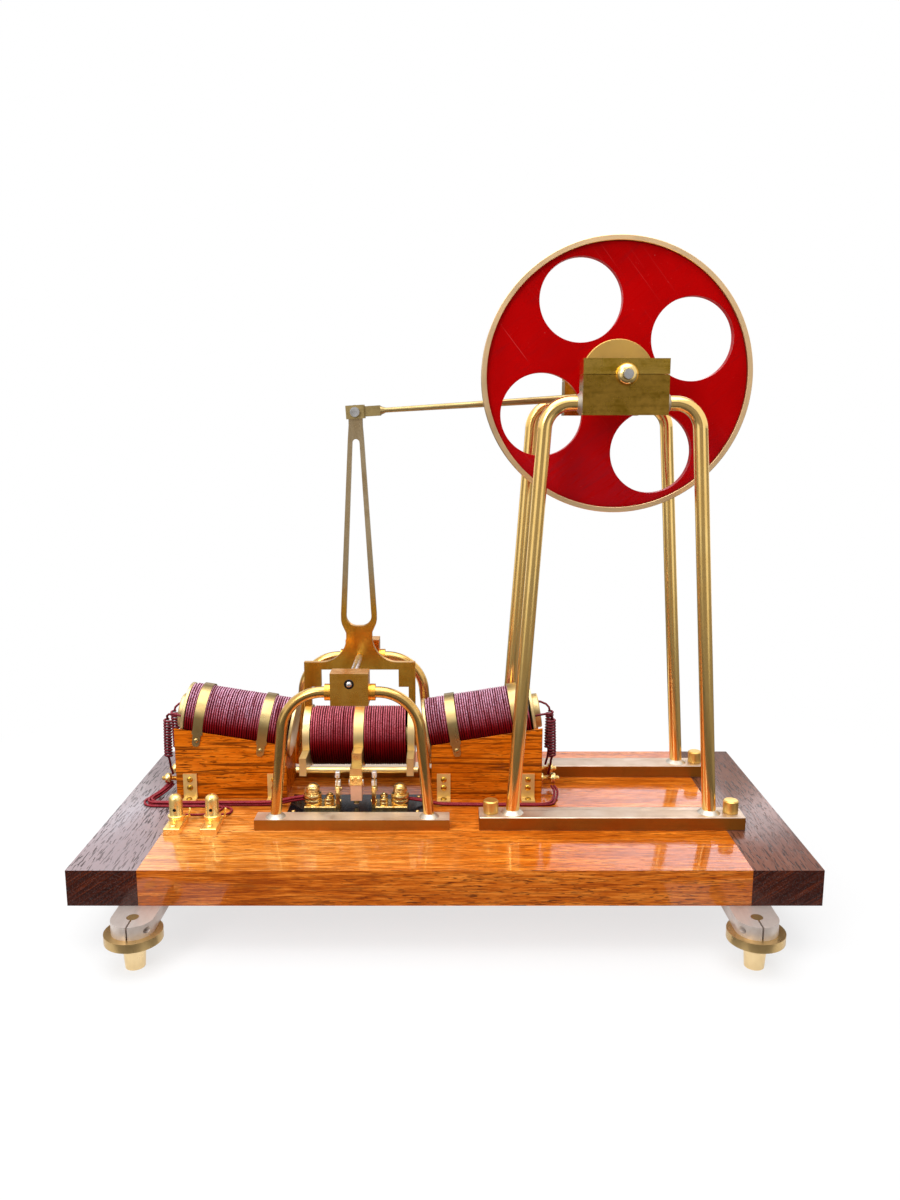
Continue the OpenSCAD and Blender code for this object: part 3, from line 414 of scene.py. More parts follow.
def dark_sheet():
    """Polished black ebonite with a little dust."""
    n = Nodes("ebonite")
    clouds = n.noise(60, 4, 0.5)
    dust = n.noise(1700, 2, 0.5)
    colour = n.ramp(clouds, (0.3, (0.002, 0.002, 0.003)), (0.7, (0.007, 0.006, 0.007)))
    colour = n.mix(n.spread(dust, 0.68, 0.76, 0.0, 0.4), colour, (0.2, 0.17, 0.15))
    n.finish(colour, n.spread(dust, 0.4, 0.75, 0.18, 0.32),
             normal=n.bump(clouds, 0.00008, 0.2), IOR=1.5, Specular_IOR_Level=0.25)


WIRE_DEEP, WIRE_LIT = (0.12, 0.001, 0.002), (0.31, 0.003, 0.008)
PALE_PAINTED_HIGHLIGHT = (0.92, 0.54, 0.74)

wood("varnished_oak", (0.74, 0.225, 0.026), (0.53, 0.115, 0.006), (0.27, 0.045, 0.002),
     (0.07, 0.014, 0.003), lean=8, gloss=0.15, coat=0.9, streaks=0.6)
wood("cradle_oak", (0.93, 0.30, 0.022), (0.68, 0.150, 0.004), (0.31, 0.048, 0.001),
     (0.07, 0.011, 0.001), lean=20, gloss=0.3, coat=0.15, streaks=0.9, contrast=0.42,
     joint_z=CRADLE_JOINT)
cleat_oak()
brass("aged_brass", (0.76, 0.44, 0.075), (0.29, 0.16, 0.012), 0.24, 0.8, 0.25, cloud=60,
      grit=0.1, above=(SHAFT_JOINT, 0.2, (1.0, 0.64, 0.13), (0.46, 0.27, 0.02)))
brass("block_brass", (1.0, 0.50, 0.085), (0.78, 0.32, 0.03), 0.24, 0.7, 0.3, cloud=90)
brass("rocker_brass", (1.0, 0.53, 0.075), (0.68, 0.29, 0.016), 0.2, 0.6, 0.3, "Z", cloud=60,
      above=(222, 15, (0.88, 0.70, 0.44), (0.62, 0.44, 0.22)))
brass("rod_brass", (0.46, 0.34, 0.145), (0.27, 0.185, 0.065), 0.38, 0.5, 0.3, metal=0.8,
      grit=0.05)
brass("polished_brass", (1.0, 0.69, 0.25), (0.88, 0.50, 0.11), 0.2, 0.3, 0.12, "Z", cloud=30,
      grit=0.04)
brass("arch_brass", (0.76, 0.48, 0.16), (0.48, 0.25, 0.04), 0.2, 0.4, 0.12, "Z", cloud=35,
      grit=0.05)
brass("bracket_brass", (0.90, 0.67, 0.27), (0.66, 0.43, 0.11), 0.4, metal=0.65)
brass("strap_brass", (0.52, 0.38, 0.17), (0.32, 0.20, 0.05), 0.3, grit=0.1)
# Painted shade: the upright faces of the stand bars take the darker side tone.
brass("satin_brass", (0.86, 0.74, 0.60), (0.66, 0.52, 0.38), 0.48, 0.4, 0.3,
      side=("Z", (0.46, 0.20, 0.030)))
brass("wheel_bar_brass", (0.66, 0.53, 0.42), (0.50, 0.37, 0.27), 0.5, 0.4, 0.3,
      side=("Z", (0.37, 0.145, 0.02)))
brass("hub_brass", (0.72, 0.46, 0.13), (0.56, 0.33, 0.07), 0.34, 0.35, cloud=40, metal=0.8)
# Painted shade: the rim's outer band takes the darker side tone.
brass("rim_brass", (0.92, 0.64, 0.36), (0.66, 0.43, 0.21), 0.42, 0.5, cloud=30,
      side=("Y", (0.46, 0.31, 0.15)), grit=0.1)
brass("bright_brass", (0.93, 0.68, 0.28), (0.70, 0.44, 0.11), 0.2, 0.3)
brass("band_brass", (0.90, 0.68, 0.31), (0.62, 0.41, 0.13), 0.34)
brass("ivory_brass", (0.78, 0.60, 0.30), (0.54, 0.37, 0.12), 0.32, 0.45, metal=0.75, grit=0.1)
brass("foot_brass", (0.96, 0.73, 0.40), (0.78, 0.55, 0.26), 0.3, brushed="Y", metal=0.85,
      above=(16, 2, (0.64, 0.44, 0.19), (0.46, 0.29, 0.10)))
brass("runner_brass", (0.67, 0.59, 0.54), (0.48, 0.39, 0.34), 0.38, 0.5, 0.2, "Y", metal=0.45)
brass("terminal_brass", (1.0, 0.72, 0.26), (0.92, 0.60, 0.17), 0.27, 0.2, metal=0.85, grit=0.1)
brass("knurled_brass", (1.0, 0.78, 0.36), (0.66, 0.38, 0.08), 0.14, 0.6, 0.6, "Z", cloud=200,
      metal=0.95, ribs=True)
plain_metal("solder", (0.62, 0.56, 0.48), 0.45, 0.9, 0.7)
plain_metal("steel", (0.88, 0.88, 0.89), 0.26, dark=0.75)
plain_metal("copper", (1.0, 0.52, 0.31), 0.45, dark=0.9, metal=0.0)
plain_metal("silver_contact", (0.9, 0.89, 0.87), 0.3, dark=0.85, metal=0.6)
enamel()
dark_sheet()
# The third colour of each wire is the painted highlight on its upward faces.
winding_wire("winding", WIRE_DEEP, WIRE_LIT, (0.95, 0.29, 0.37), "moving_winding")
winding_wire("winding_left", WIRE_DEEP, WIRE_LIT, PALE_PAINTED_HIGHLIGHT, "fixed_windings", -1)
winding_wire("winding_right", WIRE_DEEP, WIRE_LIT, PALE_PAINTED_HIGHLIGHT, "fixed_windings", 1)
winding_wire("pigtail_wire", (0.08, 0.002, 0.004), (0.18, 0.007, 0.012), (0.40, 0.10, 0.13))
winding_wire("red_wire", (0.12, 0.003, 0.006), (0.28, 0.010, 0.016), (0.42, 0.07, 0.09))

# The material of each CAD node that shows, with the width of its broken edges in mm
FINISH = {
    ("varnished_oak", 0.7): "centre_board",
    ("dark_oak", 0.7): "end_cleats",
    ("runner_brass", 0): "foot_runners",
    ("wheel_bar_brass", 0.5): "wheel_stand_bars",
    ("satin_brass", 0.5): "rocker_stand_bars",
    ("polished_brass", 0): "wheel_arch_front wheel_arch_rear",
    ("arch_brass", 0): "rocker_arch_front rocker_arch_rear",
    ("aged_brass", 0): "bearing_blocks bearing_caps",
    ("solder", 0): "solder_fillets",
    ("rim_brass", 0.3): "flywheel_rim",
    ("red_enamel", 0.2): "flywheel_disc",
    ("hub_brass", 0.4): "flywheel_hub",
    ("hub_brass", 0): "stand_bolts",
    ("steel", 0): "crankshaft rocker_shaft clevis_pin",
    ("block_brass", 0): "rocker_blocks",
    ("rocker_brass", 0): "rocker_frame",
    ("ivory_brass", 0): "moving_bobbin fixed_bobbins",
    ("band_brass", 0): "moving_clamp",
    ("copper", 0): "contact_finger",
    ("rod_brass", 0): "connecting_rod",
    ("cradle_oak", 0.4): "left_cradle right_cradle",
    ("bracket_brass", 0): "cradle_brackets",
    ("ebonite", 0.3): "commutator_plate",
    ("foot_brass", 0): "front_left_foot front_right_foot rear_left_foot rear_right_foot",
    ("bright_brass", 0): "shaft_bushes coil_straps contact_posts terminals lead_posts",
    ("silver_contact", 0): "contact_tips",
    ("winding", 0): "moving_winding fixed_windings",
    ("red_wire", 0): "pigtails lead_wires",
}


def finish_cad_nodes():
    for (material, edge), nodes in FINISH.items():
        for node in nodes.split():
            piece = frame["nodes"][node]
            piece.data.materials.clear()
            piece.data.materials.append(MATERIALS[material])
            crisp(piece, edge)


# ---------- mesh builder

SHARP = radians(35)
WELD = 1e-6
HERE = Matrix.Identity(4)


def smoothing_group():
    """Geometry nodes that shade every face smooth and keep edges over SHARP crisp."""
    group = bpy.data.node_groups.new("crisp_edges", "GeometryNodeTree")
    for way in ("INPUT", "OUTPUT"):
        group.interface.new_socket("Geometry", in_out=way, socket_type="NodeSocketGeometry")
    start = group.nodes.new("NodeGroupInput").outputs[0]
    angle = add(group, "GeometryNodeInputMeshEdgeAngle", {}, "Unsigned Angle")
    over = add(group, "FunctionNodeCompare", {0: angle, 1: SHARP}, operation="GREATER_THAN")
    faces = add(group, "GeometryNodeSetShadeSmooth", {"Geometry": start})
    edges = add(group, "GeometryNodeSetShadeSmooth", {
        "Geometry": faces, "Selection": over, "Shade Smooth": False}, domain="EDGE")
    put(group, group.nodes.new("NodeGroupOutput").inputs[0], edges)
    return group


CRISP = smoothing_group()


def crisp(piece, edge=0.0):
    """Welds, breaks the edges by edge millimetres and shades the piece by angle."""
    piece.modifiers.new("weld", "WELD").merge_threshold = WELD
    if edge:
        bevel = piece.modifiers.new("bevel", "BEVEL")
        bevel.width = edge * MM
        bevel.segments = 1
        bevel.limit_method = "ANGLE"
        bevel.angle_limit = SHARP
    piece.modifiers.new("smooth", "NODES").node_group = CRISP


def round_ring(radius, count, wave=0.0):
    """Points round a circle; wave is how much every second one is drawn in."""
    return [((radius - wave * (k % 2)) * cos(tau * k / count),
             (radius - wave * (k % 2)) * sin(tau * k / count)) for k in range(count)]


class Shape:
    """Points and faces of one piece, in millimetres."""

    def __init__(self):
        self.points = []
        self.faces = []

    def add(self, points, faces, at=HERE):
        start = len(self.points)
        self.points += [at @ Vector(p) for p in points]
        self.faces += [[start + i for i in face] for face in faces]
        return self

    def stamp(self, other, at):
        return self.add(other.points, other.faces, at)

    def loft(self, rings, at=HERE):
        """Skin over rings of points; a ring of one point is a tip."""
        points, faces, places = [], [], []
        for ring in rings:
            places.append(range(len(points), len(points) + len(ring)))
            points += ring
        count = max(map(len, rings))
        for low, high in zip(places, places[1:]):
            for k in range(count):
                quad = [low[k % len(low)], low[(k + 1) % len(low)],
                        high[(k + 1) % len(high)], high[k % len(high)]]
                face = list(dict.fromkeys(quad))
                if len(face) > 2:
                    faces.append(face)
        return self.add(points, faces, at)

    def lathe(self, profile, at=HERE, count=32):
        """Turned shape: profile holds (radius, height) or (radius, height, knurl depth)."""
        return self.loft([[(x, y, height) for x, y in round_ring(radius, count, *knurl)]
                          if radius else [(0, 0, height)]
                          for radius, height, *knurl in profile], at)

    def tube(self, path, radius, sides):
        """Round wire or rod along a path, closed at both ends."""
        last = len(path) - 1
        aside = (path[1] - path[0]).orthogonal().normalized()
        rings = [[path[0]]]
        for i, place in enumerate(path):
            ahead = (path[min(i + 1, last)] - path[max(i - 1, 0)]).normalized()
            aside = (aside - ahead * aside.dot(ahead)).normalized()
            other = ahead.cross(aside)
            rings.append([place + radius * (x * aside + y * other)
                          for x, y in round_ring(1, sides)])
        return self.loft(rings + [[path[-1]]])

    def block(self, low, high, chamfer, at=HERE):
        """Box with broken edges."""
        low, high = Vector(low), Vector(high)
        centre, half = middle(low, high), (high - low) / 2
        corners = list(product(product(BOTH, repeat=3), range(3)))
        points = [[centre[a] + signs[a] * (half[a] - (chamfer if a != axis else 0))
                   for a in range(3)] for signs, axis in corners]
        faces = []
        for facing in [f for f in product((-1, 0, 1), repeat=3) if any(f)]:
            ring = [k for k, (signs, axis) in enumerate(corners)
                    if facing[axis] and all(f in (0, s) for f, s in zip(facing, signs))]
            faces.append(ring[:2] + ring[:1:-1])
        return self.add(points, faces, at)

    def mesh(self, name, closed=True):
        data = bpy.data.meshes.new(name)
        data.from_pydata([p * MM for p in self.points], [], self.faces)
        if closed:
            shell = bmesh.new()
            shell.from_mesh(data)
            bmesh.ops.recalc_face_normals(shell, faces=shell.faces)
            shell.to_mesh(data)
            shell.free()
        return data

    def less(self, tool):
        """This closed shape with another cut out of it."""
        made = [placed("cutting", s.mesh("cutting")) for s in (self, tool)]
        cut = made[0].modifiers.new("cut", "BOOLEAN")
        cut.object = made[1]
        cut.solver = "EXACT"
        bpy.context.view_layer.update()
        shown = made[0].evaluated_get(bpy.context.evaluated_depsgraph_get())
        data = bpy.data.meshes.new_from_object(shown)
        result = Shape().add([v.co / MM for v in data.vertices],
                             [list(face.vertices) for face in data.polygons])
        for mesh in (data, *[piece.data for piece in made]):
            bpy.data.meshes.remove(mesh)
        return result

    def build(self, name, material, body="frame", slot="polished_brass", replaced=None,
              closed=True):
        """Places the shape as a piece that rides a body and may stand in for a CAD node."""
        piece = placed(name, self.mesh(name, closed))
        piece.data.materials.append(MATERIALS[material])
        crisp(piece)
        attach(piece, body)
        if replaced:
            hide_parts(replaced)


def dome(radius, low, high, steps=6):
    """Profile of a dome from its rim at low to its tip at high."""
    turns = [k * tau / 4 / steps for k in range(steps)]
    return [(radius * cos(a), low + (high - low) * sin(a)) for a in turns] + [(0, high)]


def pan_head(radius, rise):
    """Round slotted screw head, sunk a little into what it holds."""
    head = Shape().lathe([(0, -0.2), (radius, -0.2)] + dome(radius, 0.3 * rise, rise), count=24)
    slot = Shape().block((-2 * radius, -0.13 * radius, 0.4 * rise),
                         (2 * radius, 0.13 * radius, 2 * rise), 0.01)
    return head.less(slot)


def smooth_path(points, steps):
    """Catmull-Rom curve through points."""
    ends = [2 * points[0] - points[1]] + points + [2 * points[-1] - points[-2]]
    path = []
    for a, b, c, d in zip(ends, ends[1:], ends[2:], ends[3:]):
        for t in [k / steps for k in range(steps)]:
            path.append(0.5 * (2 * b + (c - a) * t + (2 * a - 5 * b + 4 * c - d) * t ** 2
                               + (3 * b - a - 3 * c + d) * t ** 3))
    return path + [points[-1]]


# ---------- coils

WIRE = 0.9
STEPS_ROUND = 64
KNOTS_PER_TURN = 7


def winding(name, node, side, body, material):
    """One layer of round wire wound side by side, with slightly uneven turns."""
    start, axis, length, radius = coil_frame(node, side)
    turns = round(length / (2 * WIRE)) - 1
    pitch = length / (turns + 1)
    across = np.array([-1.0, -0.62, -0.22, 0.22, 0.62, 1.0])
    crown = np.sqrt(np.clip(1 - across ** 2, 0, 1))
    count = turns * STEPS_ROUND + 1
    knots = np.linspace(0, count, turns * KNOTS_PER_TURN)
    lift, slide = [np.interp(np.arange(count), knots, RANDOM.normal(0, spread, len(knots)))
                   for spread in (0.07, 0.11)]
    points = []
    for i in range(count):
        angle = tau * i / STEPS_ROUND
        reach = radius - WIRE + (WIRE + lift[i]) * crown
        along = pitch * (0.5 + i / STEPS_ROUND) + across * pitch / 2 + slide[i] * crown
        points += [(r * cos(angle), r * sin(angle), z) for r, z in zip(reach, along)]
    width = len(across)
    faces = [[k, k + width, k + width + 1, k + 1]
             for i in range(count - 1) for k in range(i * width, (i + 1) * width - 1)]
    Shape().add(points, faces, stand(start, axis, UP)).build(
        name, material, body, "winding", node, closed=False)


def bobbin(name, side):
    """Flanges, core end and outer cap of one fixed coil, with rounded edges."""
    start, axis, length, radius = coil_frame("fixed_windings", side)
    place = stand(start, axis, UP)
    rim = radius - 0.1
    shape = Shape()
    for low in (-2.5, length):
        shape.lathe([(0, low), (rim - 0.5, low), (rim, low + 0.4), (rim, low + 2.1),
                     (rim - 0.5, low + 2.5), (0, low + 2.5)], place, 64)
    end = length + 2.5
    shape.lathe([(0, end - 0.2), (13.0, end - 0.2), (13.5, end + 0.4), (13.5, end + 4.2),
                 (12.8, end + 5.0), (8.6, end + 5.0), (8.3, end + 4.6), (0, end + 4.6)],
                place, 48)
    shape.lathe([(0, -2.6), (7.6, -2.6), (8.0, -2.2), (8.0, 0), (0, 0)], place, 40)
    shape.build(name, "ivory_brass", slot="satin_brass", replaced="fixed_bobbins")


def coil_strap(name, side, along):
    """Band over a fixed coil with a narrower tab and a screw down each face of its cradle.

    Local axes: x across the band, y to the front of the board, z up from the coil's axis.
    """
    start, axis, _, radius = coil_frame("fixed_windings", side)
    tip = axis * side
    place = stand(start + axis * along, Vector(UP) - tip * tip.z, tip)
    inner, thick, face, half_band = radius + 0.15, 1.1, 23.0, 3.75
    tail = [(-19.6, 1.2), (-18.9, 2.2), (-17.4, 2.9), (-15.0, 3.0), (-10.4, 3.1), (-9.9, 4.1),
            (-7.2, 4.2), (-6.6, half_band)]
    rows = [(half, (-face - 0.9, z), (-face, z)) for z, half in tail]
    for a in np.radians(np.linspace(180 - 8, 8, 33)):
        c, s = cos(a), sin(a)
        rows.append((half_band, ((inner + thick) * c, (inner + thick) * s),
                     (inner * c, inner * s)))
    rows += [(half, (face + 0.9, z), (face, z)) for z, half in reversed(tail)]
    rings = [[(-half, *outer), (half, *outer), (half, *inside), (-half, *inside)]
             for half, outer, inside in rows]
    ends = [[(0, (rows[k][1][0] + rows[k][2][0]) / 2, rows[k][1][1])] for k in (0, -1)]
    shape = Shape().loft([ends[0]] + rings + [ends[1]], place)
    for sign in BOTH:
        spot = place @ Vector((0, sign * (face + 0.9), -14.6))
        out = place.to_3x3() @ Vector((0, sign, 0))
        shape.stamp(TAB_SCREW, stand(spot, out, (0.8, 0, 0.6)))
    shape.build(name, "strap_brass", replaced="coil_straps")


def coils():
    winding("moving_turns", "moving_winding", 0, "rocker", "winding")
    for side, word in SIDES:
        winding(f"{word}_turns", "fixed_windings", side, "frame", f"winding_{word}")
        bobbin(f"{word}_bobbin", side)
        for k, along in enumerate((19.5, 69.5)):
            coil_strap(f"{word}_strap_{k + 1}", side, along)


# ---------- screws on brackets and plate

TAB_SCREW = pan_head(1.9, 1.3)
BRACKET_SCREW = pan_head(2.3, 1.4)
SMALL_SCREW = pan_head(1.5, 0.9)


def islands(node):
    """Lowest and highest corner of each separate solid of a node, in millimetres."""
    shell = bmesh.new()
    shell.from_mesh(frame["nodes"][node].data)
    bmesh.ops.remove_doubles(shell, verts=shell.verts, dist=WELD)
    seen, boxes = set(), []
    for first in shell.verts:
        if first in seen:
            continue
        seen.add(first)
        found = [first]
        for vert in found:
            near = {edge.other_vert(vert) for edge in vert.link_edges} - seen
            seen |= near
            found += near
        boxes.append([Vector([pick(vert.co[a] for vert in found) for a in range(3)]) / MM
                      for pick in (min, max)])
    shell.free()
    return boxes


def bracket_screws():
    """Two screws in the upright of each cradle bracket and one in its foot."""
    shape = Shape()
    for low, high in islands("cradle_brackets"):
        x, y, _ = middle(low, high)
        front = y < ROCKER.y + 20
        out, face, foot = ((FRONT, high.y - 1.6, low.y + 4.4) if front
                           else (BACK, low.y + 1.6, high.y - 4.4))
        for z, angle in ((9.6, 0.5), (16.2, 0.2)):
            shape.stamp(BRACKET_SCREW, stand((x, face, low.z + z), out, (1, 0, angle)))
        shape.stamp(BRACKET_SCREW, stand((x, foot, low.z + 1.6), UP, (1, 0.3, 0)))
    shape.build("bracket_screws", "aged_brass", slot="satin_brass")


def plate_screws():
    shape = Shape()
    for x, y in product((PLATE_LOW.x + 4.5, PLATE_HIGH.x - 4.5),
                        (PLATE_LOW.y + 4.5, PLATE_HIGH.y - 4.5)):
        shape.stamp(SMALL_SCREW, stand((x, y, PLATE_HIGH.z), UP, (1, 0.6, 0)))
    shape.build("plate_screws", "bright_brass")


# ---------- commutator

NUT = ([(0, 0), (6.0, 0), (6.4, 0.3), (6.75, 0.7, 0.3), (6.75, 3.5, 0.3), (6.4, 3.9), (5.8, 4.0),
        (5.8, 4.2), (6.4, 4.3), (6.75, 4.7, 0.3), (6.75, 7.6, 0.3), (6.3, 8.1), (4.6, 8.6),
        (4.4, 8.9), (4.8, 9.2), (5.2, 9.6, 0.25), (5.2, 12.6, 0.25), (4.9, 13.1)]
       + dome(4.4, 13.3, 15.8))
SMALL_NUT = [(0, 0), (2.9, 0), (3.1, 0.3, 0.2), (3.1, 2.1, 0.2), (2.8, 2.4), (2.5, 2.5),
             (2.5, 2.7), (2.8, 2.9), (3.0, 3.2, 0.2), (3.0, 5.0, 0.2), (2.7, 5.3), (1.5, 5.4),
             (1.4, 6.2), (1.0, 6.6), (0, 6.7)]


def contact_stands():
    """Two L-shaped contact posts with their clamping nuts, leaves and silver tips."""
    inner = min(abs(p.x - ROCKER.x) for box in islands("contact_posts") for p in box)
    y = middle(*box_mm("contact_posts")).y
    posts, leaves, tips = Shape(), Shape(), Shape()
    for side in BOTH:
        def at(out, back=0.0, up=0.0):
            return Vector((ROCKER.x + side * (inner + out), y + back, PLATE_HIGH.z + up))

        for a, b in ((at(0, -6), at(3.2, 6, 17)), (at(2.8, -8), at(27, 8, 2.4))):
            posts.block(*[[pick(pair) for pair in zip(a, b)] for pick in (min, max)], 0.35)
        posts.lathe(NUT, stand(at(21.1, 0, 2.4)), 56)
        posts.lathe(SMALL_NUT, stand(at(9.1, -3.4, 2.4)), 40)
        posts.lathe(SMALL_NUT, stand(at(8.6, 4.2, 2.4)), 40)
        for back, up in ((-3.2, 5.2), (3.0, 12.6)):
            for facing, out in ((side, 3.2), (-side, 0)):
                posts.stamp(SMALL_SCREW, stand(at(out, back, up), (facing, 0, 0), (0, 0.5, 1)))
        lean = Matrix.Translation(at(2.7, -1.2, 13.5)) @ Matrix.Rotation(-side * 0.06, 4, "Y")
        leaves.block((-0.5, -2.6, 0), (0.5, 2.6, 12.2), 0.12, lean)
        leaves.block((-1.2, -2.6, 0.3), (1.0, 2.6, 4.2), 0.2, lean)
        tips.block((-1.7, -2.3, 10.0), (1.7, 2.3, 14.6), 0.4, lean)
        tips.block((-1.9 - side * 0.6, -2.4, 3.6), (1.9 - side * 0.6, 2.4, 7.6), 0.4, lean)
    posts.build("contact_post_pieces", "knurled_brass", replaced="contact_posts")
    leaves.build("contact_leaves", "ivory_brass")
    tips.build("silver_tips", "silver_contact", slot="silver_contact", replaced="contact_tips")


def finger_trim():
    """Screws of the clamp block, silver nubs and brass foot of the contact finger."""
    low, high = box_mm("contact_finger")
    top = box_mm("moving_clamp")[0].z + 8.0
    x, y = ROCKER.x, middle(low, high).y
    shape, nubs = Shape(), Shape()
    shape.block((x - 4.8, low.y - 1.4, top - 7.6), (x + 4.8, high.y, top - 0.2), 0.5)
    shape.lathe([(0, -0.4), (2.4, -0.4), (2.6, 0.1), (2.6, 1.6), (2.3, 1.9), (1.5, 2.0),
                 (1.4, 3.4), (1.0, 3.8), (0, 3.9)], stand((x, y + 1, top)))
    for across, angle in ((-2.2, 0.7), (2.2, -0.4)):
        shape.stamp(SMALL_SCREW, stand((x + across, low.y - 1.4, top - 2.4), FRONT,
                                       (1, 0, angle)))
    shape.lathe([(0, 1.2), (2.5, 1.2), (2.7, 0.9), (2.7, -1.2), (2.4, -1.6), (2.1, -1.8),
                 (2.1, -3.6), (1.7, -4.0), (0, -4.1)], stand((x, y, low.z + 4.0)))
    for side in BOTH:
        nubs.lathe([(0, -0.3), (1.6, -0.3), (1.7, 0.2), (1.6, 0.6), (1.1, 1.0), (0, 1.1)],
                   stand((x + side * 4.6, y - 1.0, top - 5.4), (side, 0, 0), UP), 28)
    shape.build("finger_fittings", "terminal_brass", "rocker")
    nubs.build("finger_nubs", "silver_contact", "rocker", "silver_contact")


# ---------- terminals

POST = ([(0, 4.2), (5.3, 4.2), (5.3, 7.4), (5.9, 7.8), (6.1, 8.2), (6.1, 9.3), (5.7, 9.7),
         (4.9, 9.8), (4.8, 10.0), (4.8, 21.0)]
        + [(1.2 + 3.6 * cos(a), 21.0 + 4.0 * sin(a))
           for a in (0.3, 0.6, 0.9, 1.2, 1.45)]
        + [(1.0, 24.9), (0.8, 24.3), (0, 24.2)])


def terminal_posts():
    low, high = box_mm("terminals")
    bore = frame["record"]["mounts"][0]["pos_m"][2] / MM
    shape, lugs, shades = Shape(), Shape(), Shape()
    for side in BOTH:
        x = middle(low, high).x + side * ((high.x - low.x) / 2 - 6.1)
        y = low.y + 15.0
        here, through = stand((x, y, TOP)), stand((x, y, bore), FRONT)
        hole = Shape().lathe([(0, -9), (1.3, -9), (1.3, 9), (0, 9)], through, 24)
        shape.block((-6, -15, 0), (6, 10, 4.7), 0.4, here)
        shape.stamp(Shape().lathe(POST, here, 48).less(hole), HERE)
        # Painted shade: a dark ebonite plug inside each wire hole stands for the shade in the
        # bore.
        shades.lathe([(0, -4.1), (1.28, -4.1), (1.28, 4.1), (0, 4.1)], through, 24)
        shape.stamp(BRACKET_SCREW, stand((x, y - 10.2, TOP + 4.7), UP, (1, 0.5, 0)))
        lug = stand((x + 5.0, y + 6.4, TOP + 4.6))
        lugs.block((-3.4, -0.4, 0), (3.4, 0.4, 1.4), 0.15, lug)
        for edge in BOTH:
            lean = lug @ Matrix.Translation((edge * 2.3, 0, 1.0))
            lugs.block((-0.75, -0.4, 0), (0.75, 0.4, 6.4), 0.2,
                       lean @ Matrix.Rotation(edge * 0.16, 4, "Y"))
    shape.build("terminal_pieces", "terminal_brass", replaced="terminals")
    shades.build("terminal_bore_painted_shade", "ebonite", slot="ebonite")
    lugs.build("terminal_lugs", "bright_brass")


# ---------- leads

def lead_terminals():
    """Threaded studs at the outer ends of the cradles, with a round nut on each."""
    shape = Shape()
    stud = [(0, -0.2), (3.6, -0.2), (4.0, 0.2), (4.0, 1.5), (3.6, 2.0), (1.8, 2.1)]
    thread = [(r, z) for k in range(11) for r, z in ((2.0, 2.5 + 1.1 * k), (1.65, 3.05 + 1.1 * k))]
    nut = [(2.1, 0), (3.6, 0), (4.0, 0.4, 0.3), (4.0, 3.4, 0.3), (3.6, 3.8), (2.1, 3.8), (2.1, 0)]
    for low, high in islands("lead_posts"):
        _, y, z = middle(low, high)
        root, side = (low.x, 1) if low.x > ROCKER.x else (high.x, -1)
        place = stand((root, y, z), (side, 0, 0), UP)
        shape.lathe(stud + thread + [(1.4, 14.8), (0, 15.0)], place)
        shape.lathe(nut, place @ Matrix.Translation((0, 0, 8.0)), 40)
    shape.build("lead_studs", "bright_brass", replaced="lead_posts")


# Routes of the leads, in millimetres from the rocker's centre line and the board's top
PIGTAIL_FOOT = [(6, 15.2), (6.5, 17.5), (7.5, 21), (8, 25), (8.3, 27.5)]
TERMINAL_ROUTE = [(154, 23, 5.5), (156, 18, 3.5), (160, 13, 1), (163, 8, 0), (165, 3, 0),
                  (165, -3, 0), (162, -8, 0), (156, -10.5, 0), (145, -11, 0), (120, -11, 0),
                  (102, -12, 0), (96, -15, 0), (94, -20, 0), (95, -26, 0.5), (99, -32, 2),
                  (101, -36, 3)]
TERMINAL_BRANCH = [(127, -36, 3), (124, -33, 2.5), (117, -31, 1.5), (110, -28, 1),
                   (105, -23, 0.5), (103, -18, 0), (102, -14.3, 0)]
LEAD_PITCH = 2.4
RADIUS, TURNS, STEPS = 3.4, 13.5, 22


def coil_end_route(out):
    return [(8.2, out, 63.5), (6, out * 3, 65.5), (2, out * 6, 66.5), (-2, out * 8, 66.5),
            (-5.5, out * 9, 66)]


def plate_end_route(s):
    return [(66, -6 - s, 0.5), (57, -7.5 - s, 2.5), (49, -9.5 - s, 5), (40, -12.5 - s, 7.5)]


def left_route(s):
    return [(149 + s, 22, 5.5), (151 + s, 18, 3.5), (155 + s, 13, 1), (158 + s, 8, 0),
            (159.5 + s, 3, 0), (159 + s, -1 - s, 0), (156 + s, -4.5 - s, 0), (150, -6 - s, 0),
            (110, -6 - s, 0), (80, -6 - s, 0)] + plate_end_route(s)


def right_route(s):
    return plate_end_route(s)[::-1] + [
        (90, -6 - s, 0), (120, -6 - s, 0), (140, -6 - s, 0), (147 + s, -4 - s, 0),
        (150 + s, 1, 0), (152 + s, 7, 0.5), (153 + s, 13, 3), (151 + s, 18, 5.5)]


def pigtails():
    """Springy helices of wire, each with its two ends led to the stud and to the coil."""
    low, high = box_mm("pigtails")
    count = int(TURNS * STEPS)
    for side, word in SIDES:
        for out, y, place in ((-1, low.y + RADIUS, "front"), (1, high.y - RADIUS, "rear")):
            path = [(x, 0, TOP + z) for x, z in PIGTAIL_FOOT]
            for k in range(count + 1):
                share = k / count
                reach = (RADIUS - WIRE) * min(1.0, k / 9, (count - k) / 9)
                angle = tau * TURNS * share
                path.append((8.5 + reach * cos(angle) + 0.35 * sin(3.1 * share + y),
                             reach * sin(angle),
                             low.z + 0.4 + (high.z - low.z - 0.6) * share))
            path += [(x, dy, TOP + z) for x, dy, z in coil_end_route(out)]
            path = [Vector((ROCKER.x + side * (CRADLE_END + x), y + dy, z)) for x, dy, z in path]
            Shape().tube(path, WIRE, 8).build(f"{word}_pigtail_{place}", "pigtail_wire",
                                              slot="red_wire", replaced="pigtails")


